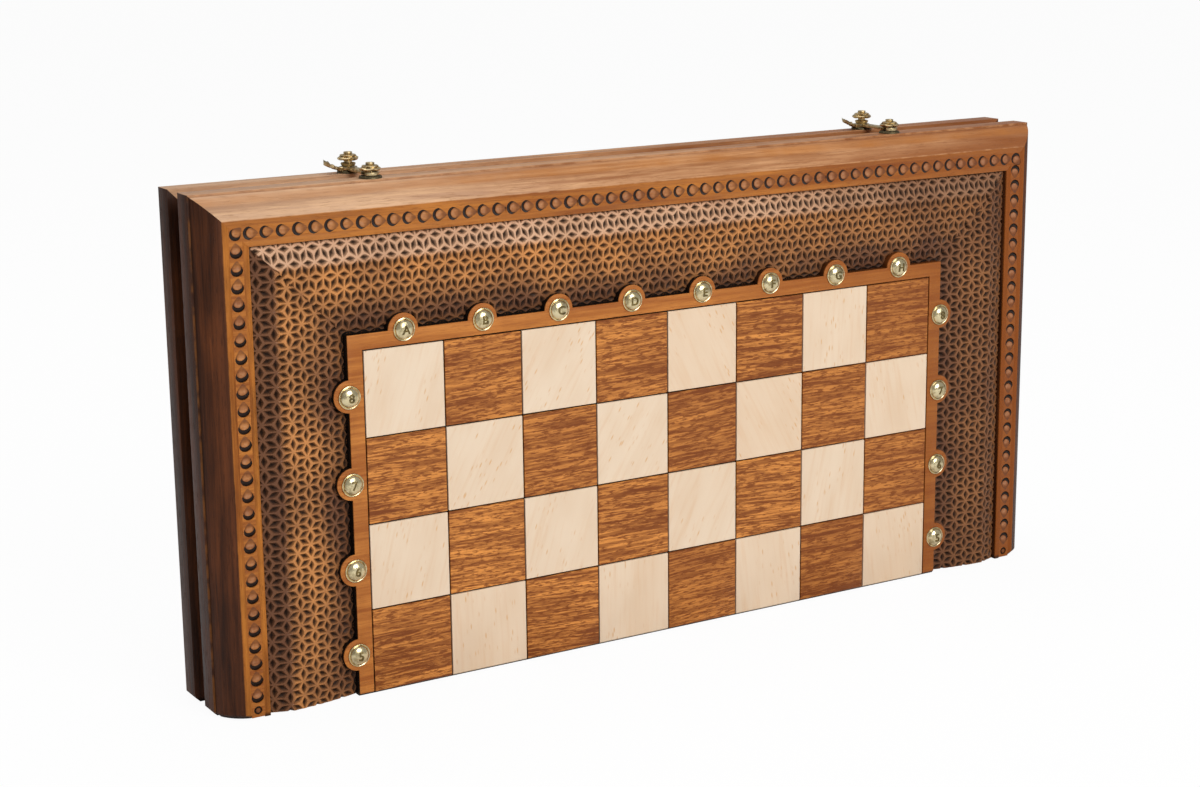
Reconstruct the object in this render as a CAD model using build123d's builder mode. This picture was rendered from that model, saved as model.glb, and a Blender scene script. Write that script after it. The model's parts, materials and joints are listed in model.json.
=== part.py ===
from build123d import *
import os
from math import ceil, sqrt

# Folding case for chess and backgammon, closed and standing on its hinge edge.
# X runs along the case, +Y points to the back half and +Z is up.
# The origin is the middle of the underside, in the parting plane.
# Lengths are millimetres.

# Case
half_depth = 35.0
parting_gap = 0.3
square = 51.4
files = 8
ranks_per_half = 4

# Moulded rails: x runs in from the rim, y runs back from the face
overhang = 14.0
band_width = 15.0
rim_start = 13.5
rim_end = 27.5
lip_inset = 8.0
moulding_swell = 1.8
quirk = 1.2
rail_thickness = 24.0
flange_depth = 6.0
panel_groove = 4.0
foot_bevel = 1.6
rail_end_bevel = 3.0

# Panels and playing surfaces
panel_thickness = 6.0
hinge_rail_height = 14.0
hinge_rail_rebate = 5.0
frame_width = 9.5
board_proud = 1.0
tile_thickness = 1.5
tile_joint = 0.9
field_width = 55.9
field_lift = 0.5
field_edge_drop = 3.0
field_crown = 2.0
field_bevel_width = 14.0
field_frame_drop = 4.5
field_shoulder_share = 0.3
carving_first_row = 3.6
carving_row_pitch = 8.4
carving_width = 2.9
carving_depth = 1.4
strip_width = 8.0
strip_depth = 2.0
point_length = 205.0
point_depth = 1.0
point_spacing = 3.0

# Studs round the board
stud_diameter = 14.0
stud_height = 4.0
stud_edge = 0.6
stud_shoulder = (4.3, -3.0)
stud_shank_radius = 1.5
stud_shank_length = 5.0
lobe_diameter = 19.0

# Hinges, let into the hinge rails
hinge_spread = 400.0
pin_inset = 4.5
pin_radius = 1.2
knuckle_radius = 3.6
link_width = 5.0
ear_width = 3.0
leaf_width = 34.0
leaf_reach = 20.0
leaf_thickness = 2.0
hinge_screw_radius = 1.1
hinge_screw_head_radius = 2.2
hinge_screw_length = 9.0
hinge_screw_spacing = 26.0
hinge_screw_stagger = 1.0
screw_tip_length = 1.5

# Clasps on the top rims
clasp_spread = 374.0
plate_radius = 6.7
plate_thickness = 1.6
plate_edge = 0.6
post_radius = 2.2
rose_radius = 5.9
rose_height = 4.0
rose_edge_height = 1.2
rose_shoulder = (4.1, 3.4)
petals = 5
petal_notch_radius = 1.3
petal_notch_circle = 6.6
shoulder_radius = 3.8
catch_neck = 2.4
pivot_neck = 5.6
clasp_screw_radius = 1.4
clasp_screw_length = 9.0
hook_thickness = 1.6
hook_width = 6.0
hook_eye_radius = 5.2
leaf_tab_reach = 12.5
leaf_tab_width = 9.0
leaf_tab_rise = 3.2
leaf_tab_bend = 6.9
leaf_tab_tip = 3.6
leaf_tab_stem_width = 4.2

# Playing pieces, stored in the front tray
checker_diameter = 32.0
checker_thickness = 9.0
checker_edge = 0.8
checker_ring_outer = 11.5
checker_ring_inner = 9.3
checker_ring_depth = 1.0
dice_count = 2
die_size = 15.0
die_edge = 1.5
die_pip_pitch = 4.0
die_pip_radius = 1.2
die_pip_depth = 0.8
dice_spacing = 4.0
pawn_size = (33.0, 8.0)
rook_size = (36.0, 9.0)
knight_size = (40.0, 9.5)
bishop_size = (46.0, 9.0)
queen_size = (54.0, 10.0)
king_size = (62.0, 10.5)

pawns_per_side = 8
pieces_per_pair = 2
points_per_row = 6

# Clearances
seat_gap = 0.2
glue_gap = 0.1
running_fit = 0.05
swing_gap = 0.3
expansion_gap = 0.5
overcut = 1.0

# Share of its radius that a turned or domed piece keeps flat at its tip
tip_share = 0.06

# Derived places
board_half_width = square * files / 2
grid_height = square * ranks_per_half
border_width = frame_width + field_width + band_width + overhang
case_length = 2 * (board_half_width + border_width)
case_height = grid_height + border_width
half_length = case_length / 2
face_y = -(half_depth + parting_gap / 2)
parting_y = -parting_gap / 2
panel_face_y = face_y + flange_depth
panel_inner_y = panel_face_y + panel_thickness
board_face_y = face_y - board_proud
board_half_outer = board_half_width + frame_width
board_height = grid_height + frame_width
field_outer_x = half_length - overhang - band_width
field_outer_z = case_height - overhang - band_width
flange_reach = overhang + band_width
groove_start = rail_thickness - panel_groove
tray_half_width = half_length - rail_thickness
tray_top = case_height - rail_thickness
strip_start = overhang + (band_width - strip_width) / 2
pin_y = parting_y - pin_inset
pin_z = pin_inset
link_span = 2 * pin_inset + parting_gap
link_pocket_radius = knuckle_radius + swing_gap
rim_y = face_y + (rim_start + rim_end) / 2
hinge_places = [-hinge_spread / 2, hinge_spread / 2]
clasp_places = [-clasp_spread / 2, clasp_spread / 2]
hook_low = case_height + plate_thickness + swing_gap
hook_high = hook_low + hook_thickness
ear_outer = link_width / 2 + swing_gap + ear_width
point_pitch = (tray_top - hinge_rail_height) / points_per_row
tray_start = -tray_half_width + expansion_gap
dice_start = tray_half_width - dice_count * (die_size + dice_spacing)

os.makedirs("parts", exist_ok=True)


def write(piece, label):
    piece.part.label = label
    export_step(piece.part, f"parts/{label}.step")


def write_mirrored(piece, label):
    """The back half is the front half reflected in the parting plane."""
    with BuildPart() as reflected:
        mirror(piece.part, about=Plane.XZ)
    write(reflected, label)


def rail_plane(corner, inward):
    """Section plane with local x running in from the rim and local y running back from the face."""
    return Plane(origin=corner, x_dir=inward, z_dir=Vector(inward).cross(Vector(0, 1, 0)))


left_section = rail_plane((-half_length, face_y, 0), (1, 0, 0))
top_section = rail_plane((-half_length, face_y, case_height), (0, 0, -1))
left_mitre = Plane(origin=(-half_length, 0, case_height), z_dir=(1, 0, 1))
right_mitre = Plane(origin=(half_length, 0, case_height), z_dir=(-1, 0, 1))


def rail_outline():
    """Band, ovolo moulding, rim, stepped lip, inner wall and the groove that holds the panel."""
    moulding_end = (quirk, rim_start - quirk / 2)
    middle = ((overhang + quirk) / 2, rim_start / 2)
    chord = sqrt((overhang - quirk) ** 2 + rim_start ** 2)
    bulge = (middle[0] - moulding_swell * rim_start / chord, middle[1] - moulding_swell * overhang / chord)
    ThreePointArc((overhang, 0), bulge, moulding_end)
    Polyline(
        moulding_end,
        (quirk, rim_start),
        (0, rim_start),
        (0, rim_end),
        (lip_inset, rim_end),
        (lip_inset, half_depth),
        (rail_thickness, half_depth),
        (rail_thickness, flange_depth + panel_thickness),
        (groove_start, flange_depth + panel_thickness),
        (groove_start, flange_depth),
        (flange_reach, flange_depth),
        (flange_reach, 0),
        (overhang, 0),
    )


def edging_outline(mode=Mode.ADD):
    """Shallow channel in the band, and the strip that fills it."""
    with Locations((strip_start + strip_width / 2, strip_depth / 2)):
        Rectangle(strip_width, strip_depth, mode=mode)


def hinge_corner():
    """Waste outside the corner of underside and parting face, which is rounded about the hinge pin's axis."""
    with BuildSketch(Plane.YZ.offset(-half_length)) as corner:
        with Locations(((pin_y + parting_y) / 2, pin_z / 2)):
            Rectangle(pin_inset, pin_inset)
        with Locations((pin_y, pin_z)):
            Circle(pin_inset, mode=Mode.SUBTRACT)
    return corner.sketch


def foot_waste():
    """Waste cut from the lower front edge of the board, which leaves a small bevel along the hinge edge."""
    with BuildSketch(Plane.YZ.offset(-half_length)) as waste:
        Polygon((board_face_y, 0), (board_face_y + foot_bevel, 0), (board_face_y, foot_bevel), align=None)
    return waste.sketch


def build_side_rail():
    with BuildPart() as rail:
        with BuildSketch(left_section):
            with BuildLine():
                rail_outline()
            make_face()
            edging_outline(Mode.SUBTRACT)
        extrude(amount=case_height)
        split(bisect_by=left_mitre, keep=Keep.BOTTOM)
        outer_foot = [
            edge
            for edge in rail.faces().sort_by(Axis.Z)[0].edges()
            if edge.center().X < -half_length + overhang and edge.center().Y < face_y + rim_end
        ]
        chamfer(outer_foot, rail_end_bevel)
        extrude(hinge_corner(), amount=case_length, mode=Mode.SUBTRACT)
    return rail


def build_top_rail():
    with BuildPart() as rail:
        with BuildSketch(top_section):
            with BuildLine():
                rail_outline()
            make_face()
            edging_outline(Mode.SUBTRACT)
        extrude(amount=case_length)
        split(bisect_by=left_mitre, keep=Keep.TOP)
        split(bisect_by=right_mitre, keep=Keep.TOP)
        with Locations(*[Plane(origin=(x, rim_y, case_height)) for x in clasp_places]):
            Hole(clasp_screw_radius + glue_gap, clasp_screw_length + overcut)
    return rail


def build_edging_strips():
    """One strip in each rail's band, mitred at the top corners."""
    with BuildPart() as side:
        with BuildSketch(left_section):
            edging_outline()
        extrude(amount=case_height)
        split(bisect_by=left_mitre, keep=Keep.BOTTOM)
        split(bisect_by=Plane.XY.offset(field_lift), keep=Keep.TOP)
    with BuildPart() as top:
        with BuildSketch(top_section):
            edging_outline()
        extrude(amount=case_length)
        split(bisect_by=left_mitre, keep=Keep.TOP)
        split(bisect_by=right_mitre, keep=Keep.TOP)
    with BuildPart() as strips:
        add(top.part)
        add(side.part)
        mirror(side.part, about=Plane.YZ)
    return strips


def build_hinge_rail():
    """Bottom rail between the side rails, with pockets for the two hinges."""
    inner_y = panel_inner_y
    with BuildPart() as rail:
        with BuildSketch(Plane.YZ.offset(-tray_half_width)):
            with BuildLine():
                Polyline(
                    (parting_y, 0),
                    (parting_y, hinge_rail_height),
                    (inner_y, hinge_rail_height),
                    (inner_y, hinge_rail_rebate),
                    (panel_face_y, hinge_rail_rebate),
                    (panel_face_y, 0),
                    close=True,
                )
            make_face()
        extrude(amount=2 * tray_half_width)
        extrude(hinge_corner(), amount=case_length, mode=Mode.SUBTRACT)
        for x in hinge_places:
            with BuildSketch(Plane.YZ.offset(x - ear_outer - swing_gap)):
                hinge_pocket_outline()
            extrude(amount=2 * (ear_outer + swing_gap), mode=Mode.SUBTRACT)
            with BuildSketch(Plane.XY):
                leaf_outline(x, glue_gap)
            extrude(amount=leaf_thickness, mode=Mode.SUBTRACT)
            with Locations(*[Plane(origin=place, z_dir=(0, 0, -1)) for place in hinge_screw_places(x)]):
                Hole(hinge_screw_radius + glue_gap, hinge_screw_length)
    return rail


def hinge_pocket_outline():
    """Room for the knuckles and for the link as it swings down through a right angle."""
    with Locations((pin_y, pin_z)):
        Circle(link_pocket_radius)
    with Locations(((pin_y + parting_y) / 2, (pin_z + link_pocket_radius) / 2)):
        Rectangle(parting_y - pin_y, pin_z + link_pocket_radius)
    with Locations((pin_y - link_pocket_radius / 2, pin_z / 2)):
        Rectangle(link_pocket_radius, pin_z)


def leaf_outline(x, clearance):
    front = -leaf_reach - clearance
    back = pin_y - link_pocket_radius + clearance
    with Locations((x, (front + back) / 2)):
        Rectangle(leaf_width + 2 * clearance, back - front)


def hinge_screw_places(x):
    y = (-leaf_reach + pin_y - link_pocket_radius) / 2
    return [(x - hinge_screw_spacing / 2, y, 0), (x, y - hinge_screw_stagger, 0), (x + hinge_screw_spacing / 2, y, 0)]


def build_hinge_leaves():
    """Plate let into the underside with two ears that carry the pin."""
    with BuildPart() as leaves:
        for x in hinge_places:
            with BuildSketch(Plane.XY):
                leaf_outline(x, 0)
            extrude(amount=leaf_thickness)
            for ear_start in (x - ear_outer, x + link_width / 2 + swing_gap):
                with BuildSketch(Plane.YZ.offset(ear_start)):
                    with Locations((pin_y, pin_z)):
                        Circle(knuckle_radius)
                    with Locations((pin_y - knuckle_radius / 2, pin_z / 2)):
                        Rectangle(knuckle_radius, pin_z)
                    with Locations((pin_y - link_pocket_radius, leaf_thickness / 2)):
                        Rectangle(2 * swing_gap, leaf_thickness)
                    with Locations((pin_y, pin_z)):
                        Circle(pin_radius, mode=Mode.SUBTRACT)
                extrude(amount=ear_width)
            with Locations(*[Plane(origin=place, z_dir=(0, 0, -1)) for place in hinge_screw_places(x)]):
                CounterSinkHole(hinge_screw_radius + glue_gap, hinge_screw_head_radius, leaf_thickness + overcut)
    return leaves


def build_hinge_pins():
    with BuildPart() as pins:
        for x in hinge_places:
            with BuildSketch(Plane.YZ.offset(x - ear_outer)):
                with Locations((pin_y, pin_z)):
                    Circle(pin_radius)
            extrude(amount=2 * ear_outer)
    return pins


def build_hinge_screws():
    """Countersunk wood screws, heads flush with the leaves."""
    cone_depth = hinge_screw_head_radius - hinge_screw_radius
    with BuildPart() as screws:
        places = [place for x in hinge_places for place in hinge_screw_places(x)]
        for place in places:
            with BuildSketch(Plane(origin=place, x_dir=(1, 0, 0), z_dir=(0, -1, 0))):
                with BuildLine():
                    Polyline(
                        (0, 0),
                        (hinge_screw_head_radius - glue_gap, 0),
                        (hinge_screw_radius, cone_depth),
                        (hinge_screw_radius, hinge_screw_length - screw_tip_length - overcut / 2),
                        (0, hinge_screw_length - overcut / 2),
                        close=True,
                    )
                make_face()
            revolve(axis=Axis(place, (0, 0, 1)))
    return screws


def build_hinge_links():
    """Flat links that join the two pins of each hinge."""
    with BuildPart() as links:
        for x in hinge_places:
            with BuildSketch(Plane.YZ.offset(x - link_width / 2)):
                with Locations((0, pin_z)):
                    SlotCenterToCenter(link_span, 2 * knuckle_radius)
                with Locations((pin_y, pin_z), (-pin_y, pin_z)):
                    Circle(pin_radius + running_fit, mode=Mode.SUBTRACT)
            extrude(amount=link_width)
    return links


def build_base_panel():
    """Thin panel held in the rails' groove, with recesses for the inlaid points on its inner face."""
    with BuildPart() as panel:
        half_width = half_length - groove_start - expansion_gap
        top = case_height - groove_start - expansion_gap
        with BuildSketch(Plane.XZ.offset(-panel_face_y)):
            with Locations((0, (hinge_rail_rebate + top) / 2)):
                Rectangle(2 * half_width, top - hinge_rail_rebate)
        extrude(amount=-panel_thickness)
        with BuildSketch(Plane.XZ.offset(-(panel_inner_y - point_depth))):
            for index in range(points_per_row):
                for side in (-1, 1):
                    point_triangle(index, side)
        extrude(amount=-point_depth, mode=Mode.SUBTRACT)
    return panel


def point_triangle(index, side):
    """Long triangle from an end of the tray towards its middle."""
    middle = hinge_rail_height + (index + 0.5) * point_pitch
    half_base = (point_pitch - point_spacing) / 2
    base_x = side * tray_half_width
    corners = [(base_x, middle - half_base), (base_x, middle + half_base), (base_x - side * point_length, middle)]
    Polygon(*corners, align=None)


def build_points(parity):
    with BuildPart() as points:
        with BuildSketch(Plane.XZ.offset(-(panel_inner_y - point_depth))):
            for index in range(points_per_row):
                side = 1 if (index + parity) % 2 else -1
                point_triangle(index, side)
        extrude(amount=-point_depth)
    return points


def pillow_drop(inward):
    """How far the field's surface lies behind the band's face, at a distance in from the band."""
    if inward < field_bevel_width:
        return field_edge_drop - (field_edge_drop + field_crown) * inward / field_bevel_width
    share = (inward - field_bevel_width) / (field_width - field_bevel_width)
    slope = 4 * field_shoulder_share - 1
    return -field_crown + (field_frame_drop + field_crown) * (slope * share + (1 - slope) * share ** 2)


def field_outline():
    """Section of the pillow border, before it is carved."""
    middle = (field_bevel_width + field_width) / 2
    crown = (field_bevel_width, -field_crown)
    edge = (field_width, field_frame_drop)
    Line((0, field_edge_drop), crown)
    ThreePointArc(crown, (middle, pillow_drop(middle)), edge)
    Polyline(edge, (field_width, flange_depth), (0, flange_depth), (0, field_edge_drop))


def carving_rows():
    """V grooves in the pillow's section, one for each row of the carving."""
    height = carving_depth + overcut
    spread = carving_width / 2 * height / carving_depth
    for row in range(ceil((field_width - carving_first_row) / carving_row_pitch)):
        inward = carving_first_row + row * carving_row_pitch
        bottom = pillow_drop(inward) + carving_depth
        corners = [(inward, bottom), (inward - spread, bottom - height), (inward + spread, bottom - height)]
        Polygon(*corners, align=None, mode=Mode.SUBTRACT)


def build_carved_field():
    """U-shaped pillow border between the band and the board, mitred at the top corners."""
    side_plane = rail_plane((-field_outer_x, face_y, 0), (1, 0, 0))
    top_plane = rail_plane((-field_outer_x, face_y, field_outer_z), (0, 0, -1))
    corner = Plane(origin=(-field_outer_x, 0, field_outer_z), z_dir=(1, 0, 1))
    far_corner = Plane(origin=(field_outer_x, 0, field_outer_z), z_dir=(-1, 0, 1))
    with BuildPart() as side:
        with BuildSketch(side_plane):
            with BuildLine():
                field_outline()
            make_face()
            carving_rows()
        extrude(amount=field_outer_z)
        split(bisect_by=corner, keep=Keep.BOTTOM)
        split(bisect_by=Plane.XY.offset(field_lift), keep=Keep.TOP)
    with BuildPart() as top:
        with BuildSketch(top_plane):
            with BuildLine():
                field_outline()
            make_face()
            carving_rows()
        extrude(amount=2 * field_outer_x)
        split(bisect_by=corner, keep=Keep.TOP)
        split(bisect_by=far_corner, keep=Keep.TOP)
    with BuildPart() as field:
        add(top.part)
        add(side.part)
        mirror(side.part, about=Plane.YZ)
        with BuildSketch(Plane.XZ.offset(-face_y + field_crown + overcut)):
            board_outline(glue_gap)
        extrude(amount=-(flange_depth + field_crown + 2 * overcut), mode=Mode.SUBTRACT)
    return field


def letter_stud_places():
    return [((i + 0.5) * square - board_half_width, board_height) for i in range(files)]


def number_stud_places():
    rows = [(j + 0.5) * square for j in range(ranks_per_half)]
    return [(side * board_half_outer, z) for side in (-1, 1) for z in rows]


def board_outline(clearance):
    """Board frame with a round lobe under each stud."""
    with Locations((0, board_height / 2)):
        Rectangle(2 * (board_half_outer + clearance), board_height + 2 * clearance)
    with Locations(*letter_stud_places(), *number_stud_places()):
        Circle(lobe_diameter / 2 + clearance)


def build_board_frame():
    """Raised board plate with a shallow tray for the inlaid squares."""
    with BuildPart() as board:
        with BuildSketch(Plane.XZ.offset(-panel_face_y)):
            board_outline(0)
        extrude(amount=flange_depth + board_proud)
        split(bisect_by=Plane.XY, keep=Keep.TOP)
        with BuildSketch(Plane.XZ.offset(-board_face_y)):
            with Locations((0, grid_height / 2)):
                Rectangle(2 * board_half_width + tile_joint, grid_height + tile_joint)
        extrude(amount=-tile_thickness, mode=Mode.SUBTRACT)
        places = letter_stud_places() + number_stud_places()
        with Locations(*[Plane(origin=(x, board_face_y, z), z_dir=(0, -1, 0)) for x, z in places]):
            Hole(stud_shank_radius + running_fit, stud_shank_length + overcut)
        extrude(foot_waste(), amount=case_length, mode=Mode.SUBTRACT)
    return board


def build_squares(parity):
    """Inlaid squares of one colour, with a narrow dark joint round each."""
    with BuildPart() as squares:
        with BuildSketch(Plane.XZ.offset(-(board_face_y + tile_thickness))):
            for column in range(files):
                for row in range(ranks_per_half):
                    if (column + row) % 2 == parity:
                        x = (column + 0.5) * square - board_half_width
                        z = (ranks_per_half - row - 0.5) * square
                        with Locations((x, z)):
                            Rectangle(square - tile_joint, square - tile_joint)
        extrude(amount=tile_thickness)
        extrude(foot_waste(), amount=case_length, mode=Mode.SUBTRACT)
    return squares


def build_studs(places):
    """Domed studs, each with a shank pressed into the board."""
    radius = stud_diameter / 2
    with BuildPart() as studs:
        for x, z in places:
            seat = Plane(origin=(x, board_face_y, z), x_dir=(1, 0, 0), z_dir=(0, 0, 1))
            with BuildSketch(seat):
                with BuildLine():
                    crest = (radius * tip_share, -stud_height)
                    ThreePointArc((radius, -stud_edge), stud_shoulder, crest)
                    Polyline(
                        crest,
                        (0, -stud_height),
                        (0, stud_shank_length),
                        (stud_shank_radius, stud_shank_length),
                        (stud_shank_radius, 0),
                        (radius, 0),
                        (radius, -stud_edge),
                    )
                make_face()
            revolve(axis=Axis((x, board_face_y, z), (0, 1, 0)))
    return studs


def build_clasp_plates():
    """Round base plates on the rim."""
    with BuildPart() as plates:
        for x in clasp_places:
            with BuildSketch(Plane(origin=(x, rim_y, case_height))):
                Circle(plate_radius)
                Circle(clasp_screw_radius + glue_gap, mode=Mode.SUBTRACT)
            extrude(amount=plate_thickness)
        rims = plates.edges().filter_by(GeomType.CIRCLE).group_by(Axis.Z)[-1].sort_by(SortBy.RADIUS)[-2:]
        chamfer(rims, plate_edge)
    return plates


def build_roses(neck):
    """Screw, neck and petalled head in one piece; the hook swings under the head."""
    seat = case_height + plate_thickness
    head_low = seat + neck
    with BuildPart() as roses:
        for x in clasp_places:
            with BuildSketch(Plane(origin=(x, rim_y, 0), x_dir=(1, 0, 0), z_dir=(0, -1, 0))):
                with BuildLine():
                    Polyline(
                        (0, case_height - clasp_screw_length),
                        (clasp_screw_radius, case_height - clasp_screw_length + screw_tip_length),
                        (clasp_screw_radius, seat),
                        (post_radius, seat),
                        (post_radius, hook_high + swing_gap),
                        (shoulder_radius, hook_high + swing_gap),
                        (shoulder_radius, head_low),
                        (rose_radius, head_low + rose_edge_height),
                    )
                    crest = (rose_radius * tip_share, head_low + rose_height)
                    shoulder = (rose_shoulder[0], head_low + rose_shoulder[1])
                    ThreePointArc((rose_radius, head_low + rose_edge_height), shoulder, crest)
                    Polyline(crest, (0, head_low + rose_height), (0, case_height - clasp_screw_length))
                make_face()
            revolve(axis=Axis((x, rim_y, 0), (0, 0, 1)))
            with BuildSketch(Plane(origin=(x, rim_y, head_low + rose_edge_height))):
                with PolarLocations(petal_notch_circle, petals):
                    Circle(petal_notch_radius)
            extrude(amount=rose_height, mode=Mode.SUBTRACT)
    return roses


def build_hook(x):
    """Swing hook: an eye on the pivot post, a notched arm to the catch and a raised thumb leaf."""
    pivot_y = -rim_y
    catch_y = rim_y
    with BuildPart() as hook:
        with BuildSketch(Plane(origin=(x, 0, hook_low))):
            with Locations((0, pivot_y)):
                Circle(hook_eye_radius)
            with Locations((0, catch_y)):
                Circle(hook_eye_radius)
            Rectangle(hook_width, pivot_y - catch_y)
            with Locations((-leaf_tab_reach / 2, pivot_y)):
                Rectangle(leaf_tab_reach, leaf_tab_stem_width)
            with Locations((0, pivot_y)):
                Circle(post_radius + running_fit, mode=Mode.SUBTRACT)
            notch_radius = post_radius + swing_gap
            with Locations((0, catch_y)):
                Circle(notch_radius, mode=Mode.SUBTRACT)
            with Locations((-hook_eye_radius / 2, catch_y + swing_gap)):
                Rectangle(hook_eye_radius + overcut, 2 * notch_radius + 2 * swing_gap, mode=Mode.SUBTRACT)
        extrude(amount=hook_thickness)
        with BuildSketch(Plane(origin=(x, pivot_y - leaf_tab_width / 2, hook_low), x_dir=(1, 0, 0), z_dir=(0, -1, 0))):
            with BuildLine():
                Polyline(
                    (-leaf_tab_bend, 0),
                    (-leaf_tab_reach, leaf_tab_rise),
                    (-leaf_tab_reach - leaf_tab_tip, leaf_tab_rise),
                    (-leaf_tab_reach - leaf_tab_tip, leaf_tab_rise + hook_thickness),
                    (-leaf_tab_reach, leaf_tab_rise + hook_thickness),
                    (-leaf_tab_bend, hook_thickness),
                    close=True,
                )
            make_face()
        extrude(amount=-leaf_tab_width)
    return hook


def turned_outline(height, radius, head):
    """Half profile of a turned chessman: foot, waisted stem and collar, then the head of its kind."""
    stem_top = 0.6 * height
    stem = 0.36 * radius
    Polyline((0, 0), (radius, 0), (radius, 0.05 * height), (0.86 * radius, 0.09 * height))
    ThreePointArc((0.86 * radius, 0.09 * height), (0.47 * radius, 0.26 * height), (stem, stem_top))
    Polyline((stem, stem_top), (0.62 * radius, stem_top + 0.02 * height), (0.62 * radius, stem_top + 0.045 * height))
    neck = (0.34 * radius, stem_top + 0.07 * height)
    Line((0.62 * radius, stem_top + 0.045 * height), neck)
    tip = (tip_share * radius, height)
    if head == "pawn":
        ThreePointArc(neck, (0.54 * radius, 0.84 * height), tip)
    elif head == "rook":
        tip = (0.42 * radius, 0.88 * height)
        Polyline(neck, (0.58 * radius, 0.74 * height), (0.66 * radius, height), (0.42 * radius, height), tip)
    elif head == "bishop":
        ThreePointArc(neck, (0.5 * radius, 0.77 * height), (0.12 * radius, 0.94 * height))
        ThreePointArc((0.12 * radius, 0.94 * height), (0.17 * radius, 0.97 * height), tip)
    else:
        Polyline(neck, (0.62 * radius, 0.88 * height), (0.5 * radius, 0.91 * height), (0.16 * radius, 0.93 * height))
        ThreePointArc((0.16 * radius, 0.93 * height), (0.2 * radius, 0.965 * height), tip)
    Polyline(tip, (0, tip[1]), (0, 0))


def build_turned(size, head):
    height, radius = size
    with BuildPart() as chessman:
        with BuildSketch(Plane.XZ):
            with BuildLine():
                turned_outline(height, radius, head)
            make_face()
        revolve(axis=Axis.Z)
        if head == "rook":
            with BuildSketch(Plane.XY.offset(0.93 * height)):
                Rectangle(2 * radius, 0.2 * radius)
                Rectangle(0.2 * radius, 2 * radius)
            extrude(amount=height, mode=Mode.SUBTRACT)
        if head == "king":
            with BuildSketch(Plane.XZ.offset(-0.08 * radius)):
                with Locations((0, 0.95 * height)):
                    Rectangle(0.5 * radius, 0.03 * height)
            extrude(amount=0.16 * radius)
    return chessman


def build_knight(size):
    """Turned foot with a horse's head cut from a board and rounded."""
    height, radius = size
    foot = 0.24 * height
    outline = [
        (-0.55, 0.22), (-0.62, 0.45), (-0.5, 0.72), (-0.2, 0.93), (-0.08, 1.0), (0.02, 0.92),
        (0.3, 0.84), (0.72, 0.66), (0.78, 0.57), (0.62, 0.52), (0.2, 0.58), (0.16, 0.5), (0.5, 0.22),
    ]
    with BuildPart() as chessman:
        with BuildSketch(Plane.XZ):
            with BuildLine():
                Polyline((0, 0), (radius, 0), (radius, 0.06 * height), (0.72 * radius, foot), (0, foot), close=True)
            make_face()
        revolve(axis=Axis.Z)
        with BuildSketch(Plane.XZ.offset(-0.32 * radius)):
            with BuildLine():
                Polyline(*[(x * radius, z * height) for x, z in outline], close=True)
            make_face()
        extrude(amount=0.64 * radius)
    return chessman


chessmen = {
    "pawns": (build_turned(pawn_size, "pawn"), pawn_size, pawns_per_side),
    "rooks": (build_turned(rook_size, "rook"), rook_size, pieces_per_pair),
    "knights": (build_knight(knight_size), knight_size, pieces_per_pair),
    "bishops": (build_turned(bishop_size, "bishop"), bishop_size, pieces_per_pair),
    "queen": (build_turned(queen_size, "queen"), queen_size, 1),
    "king": (build_turned(king_size, "king"), king_size, 1),
}


def lay_chessmen():
    """Lays the men end to end in rows on top of the checkers, against the panel."""
    order = [(colour, kind) for kind in chessmen for colour in ("light", "dark")]
    floor = hinge_rail_height + seat_gap + checker_diameter + seat_gap
    x = tray_start
    row_height = 0
    places = {}
    for colour, kind in order:
        height, radius = chessmen[kind][1]
        for _ in range(chessmen[kind][2]):
            if x + height + expansion_gap > tray_half_width:
                floor += row_height + seat_gap
                x = tray_start
                row_height = 0
            spot = (x, panel_inner_y + seat_gap + radius, floor + radius)
            places.setdefault(f"{colour}_{kind}", []).append(spot)
            row_height = max(row_height, 2 * radius)
            x += height + seat_gap
    if floor + row_height > tray_top:
        raise ValueError("the stored men do not fit in the tray")
    return places


def build_checkers(layer):
    """Row of turned discs standing on the hinge rail, each with a ring groove on both faces."""
    radius = checker_diameter / 2
    y = panel_inner_y + seat_gap + layer * (checker_thickness + seat_gap)
    z = hinge_rail_height + seat_gap + radius
    with BuildPart() as disc:
        with BuildSketch(Plane.XZ):
            Circle(radius)
        extrude(amount=-checker_thickness)
        chamfer(disc.edges().filter_by(GeomType.CIRCLE), checker_edge)
        for groove_y in (0, checker_thickness - checker_ring_depth):
            with BuildSketch(Plane.XZ.offset(-groove_y)):
                Circle(checker_ring_outer)
                Circle(checker_ring_inner, mode=Mode.SUBTRACT)
            extrude(amount=-checker_ring_depth, mode=Mode.SUBTRACT)
    with BuildPart() as checkers:
        pitch = checker_diameter + seat_gap
        count = int((dice_start - tray_start) / pitch)
        spots = [(tray_start + radius + i * pitch, y, z) for i in range(count)]
        with Locations(*spots):
            add(disc.part)
    return checkers


def build_dice():
    """Two dice beside the checkers, with drilled pips."""
    y = panel_inner_y + seat_gap + die_size / 2
    z = hinge_rail_height + seat_gap + die_size / 2
    spots = [(dice_start + die_size / 2 + i * (die_size + dice_spacing), y, z) for i in range(dice_count)]
    with BuildPart() as die:
        Box(die_size, die_size, die_size)
        fillet(die.edges(), die_edge)
        pitch = die_pip_pitch
        diagonal = [(0, 0), (pitch, pitch), (-pitch, -pitch)]
        with Locations(Plane.XY.offset(die_size / 2)):
            with Locations(*diagonal, (pitch, -pitch), (-pitch, pitch)):
                Hole(die_pip_radius, die_pip_depth)
        with Locations(Plane.YZ.offset(die_size / 2)):
            with Locations(*diagonal):
                Hole(die_pip_radius, die_pip_depth)
        with Locations(Plane(origin=(0, die_size / 2, 0), z_dir=(0, 1, 0))):
            with GridLocations(pitch, 2 * pitch, 3, 2):
                Hole(die_pip_radius, die_pip_depth)
    with BuildPart() as dice:
        with Locations(*spots):
            add(die.part)
    return dice


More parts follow.
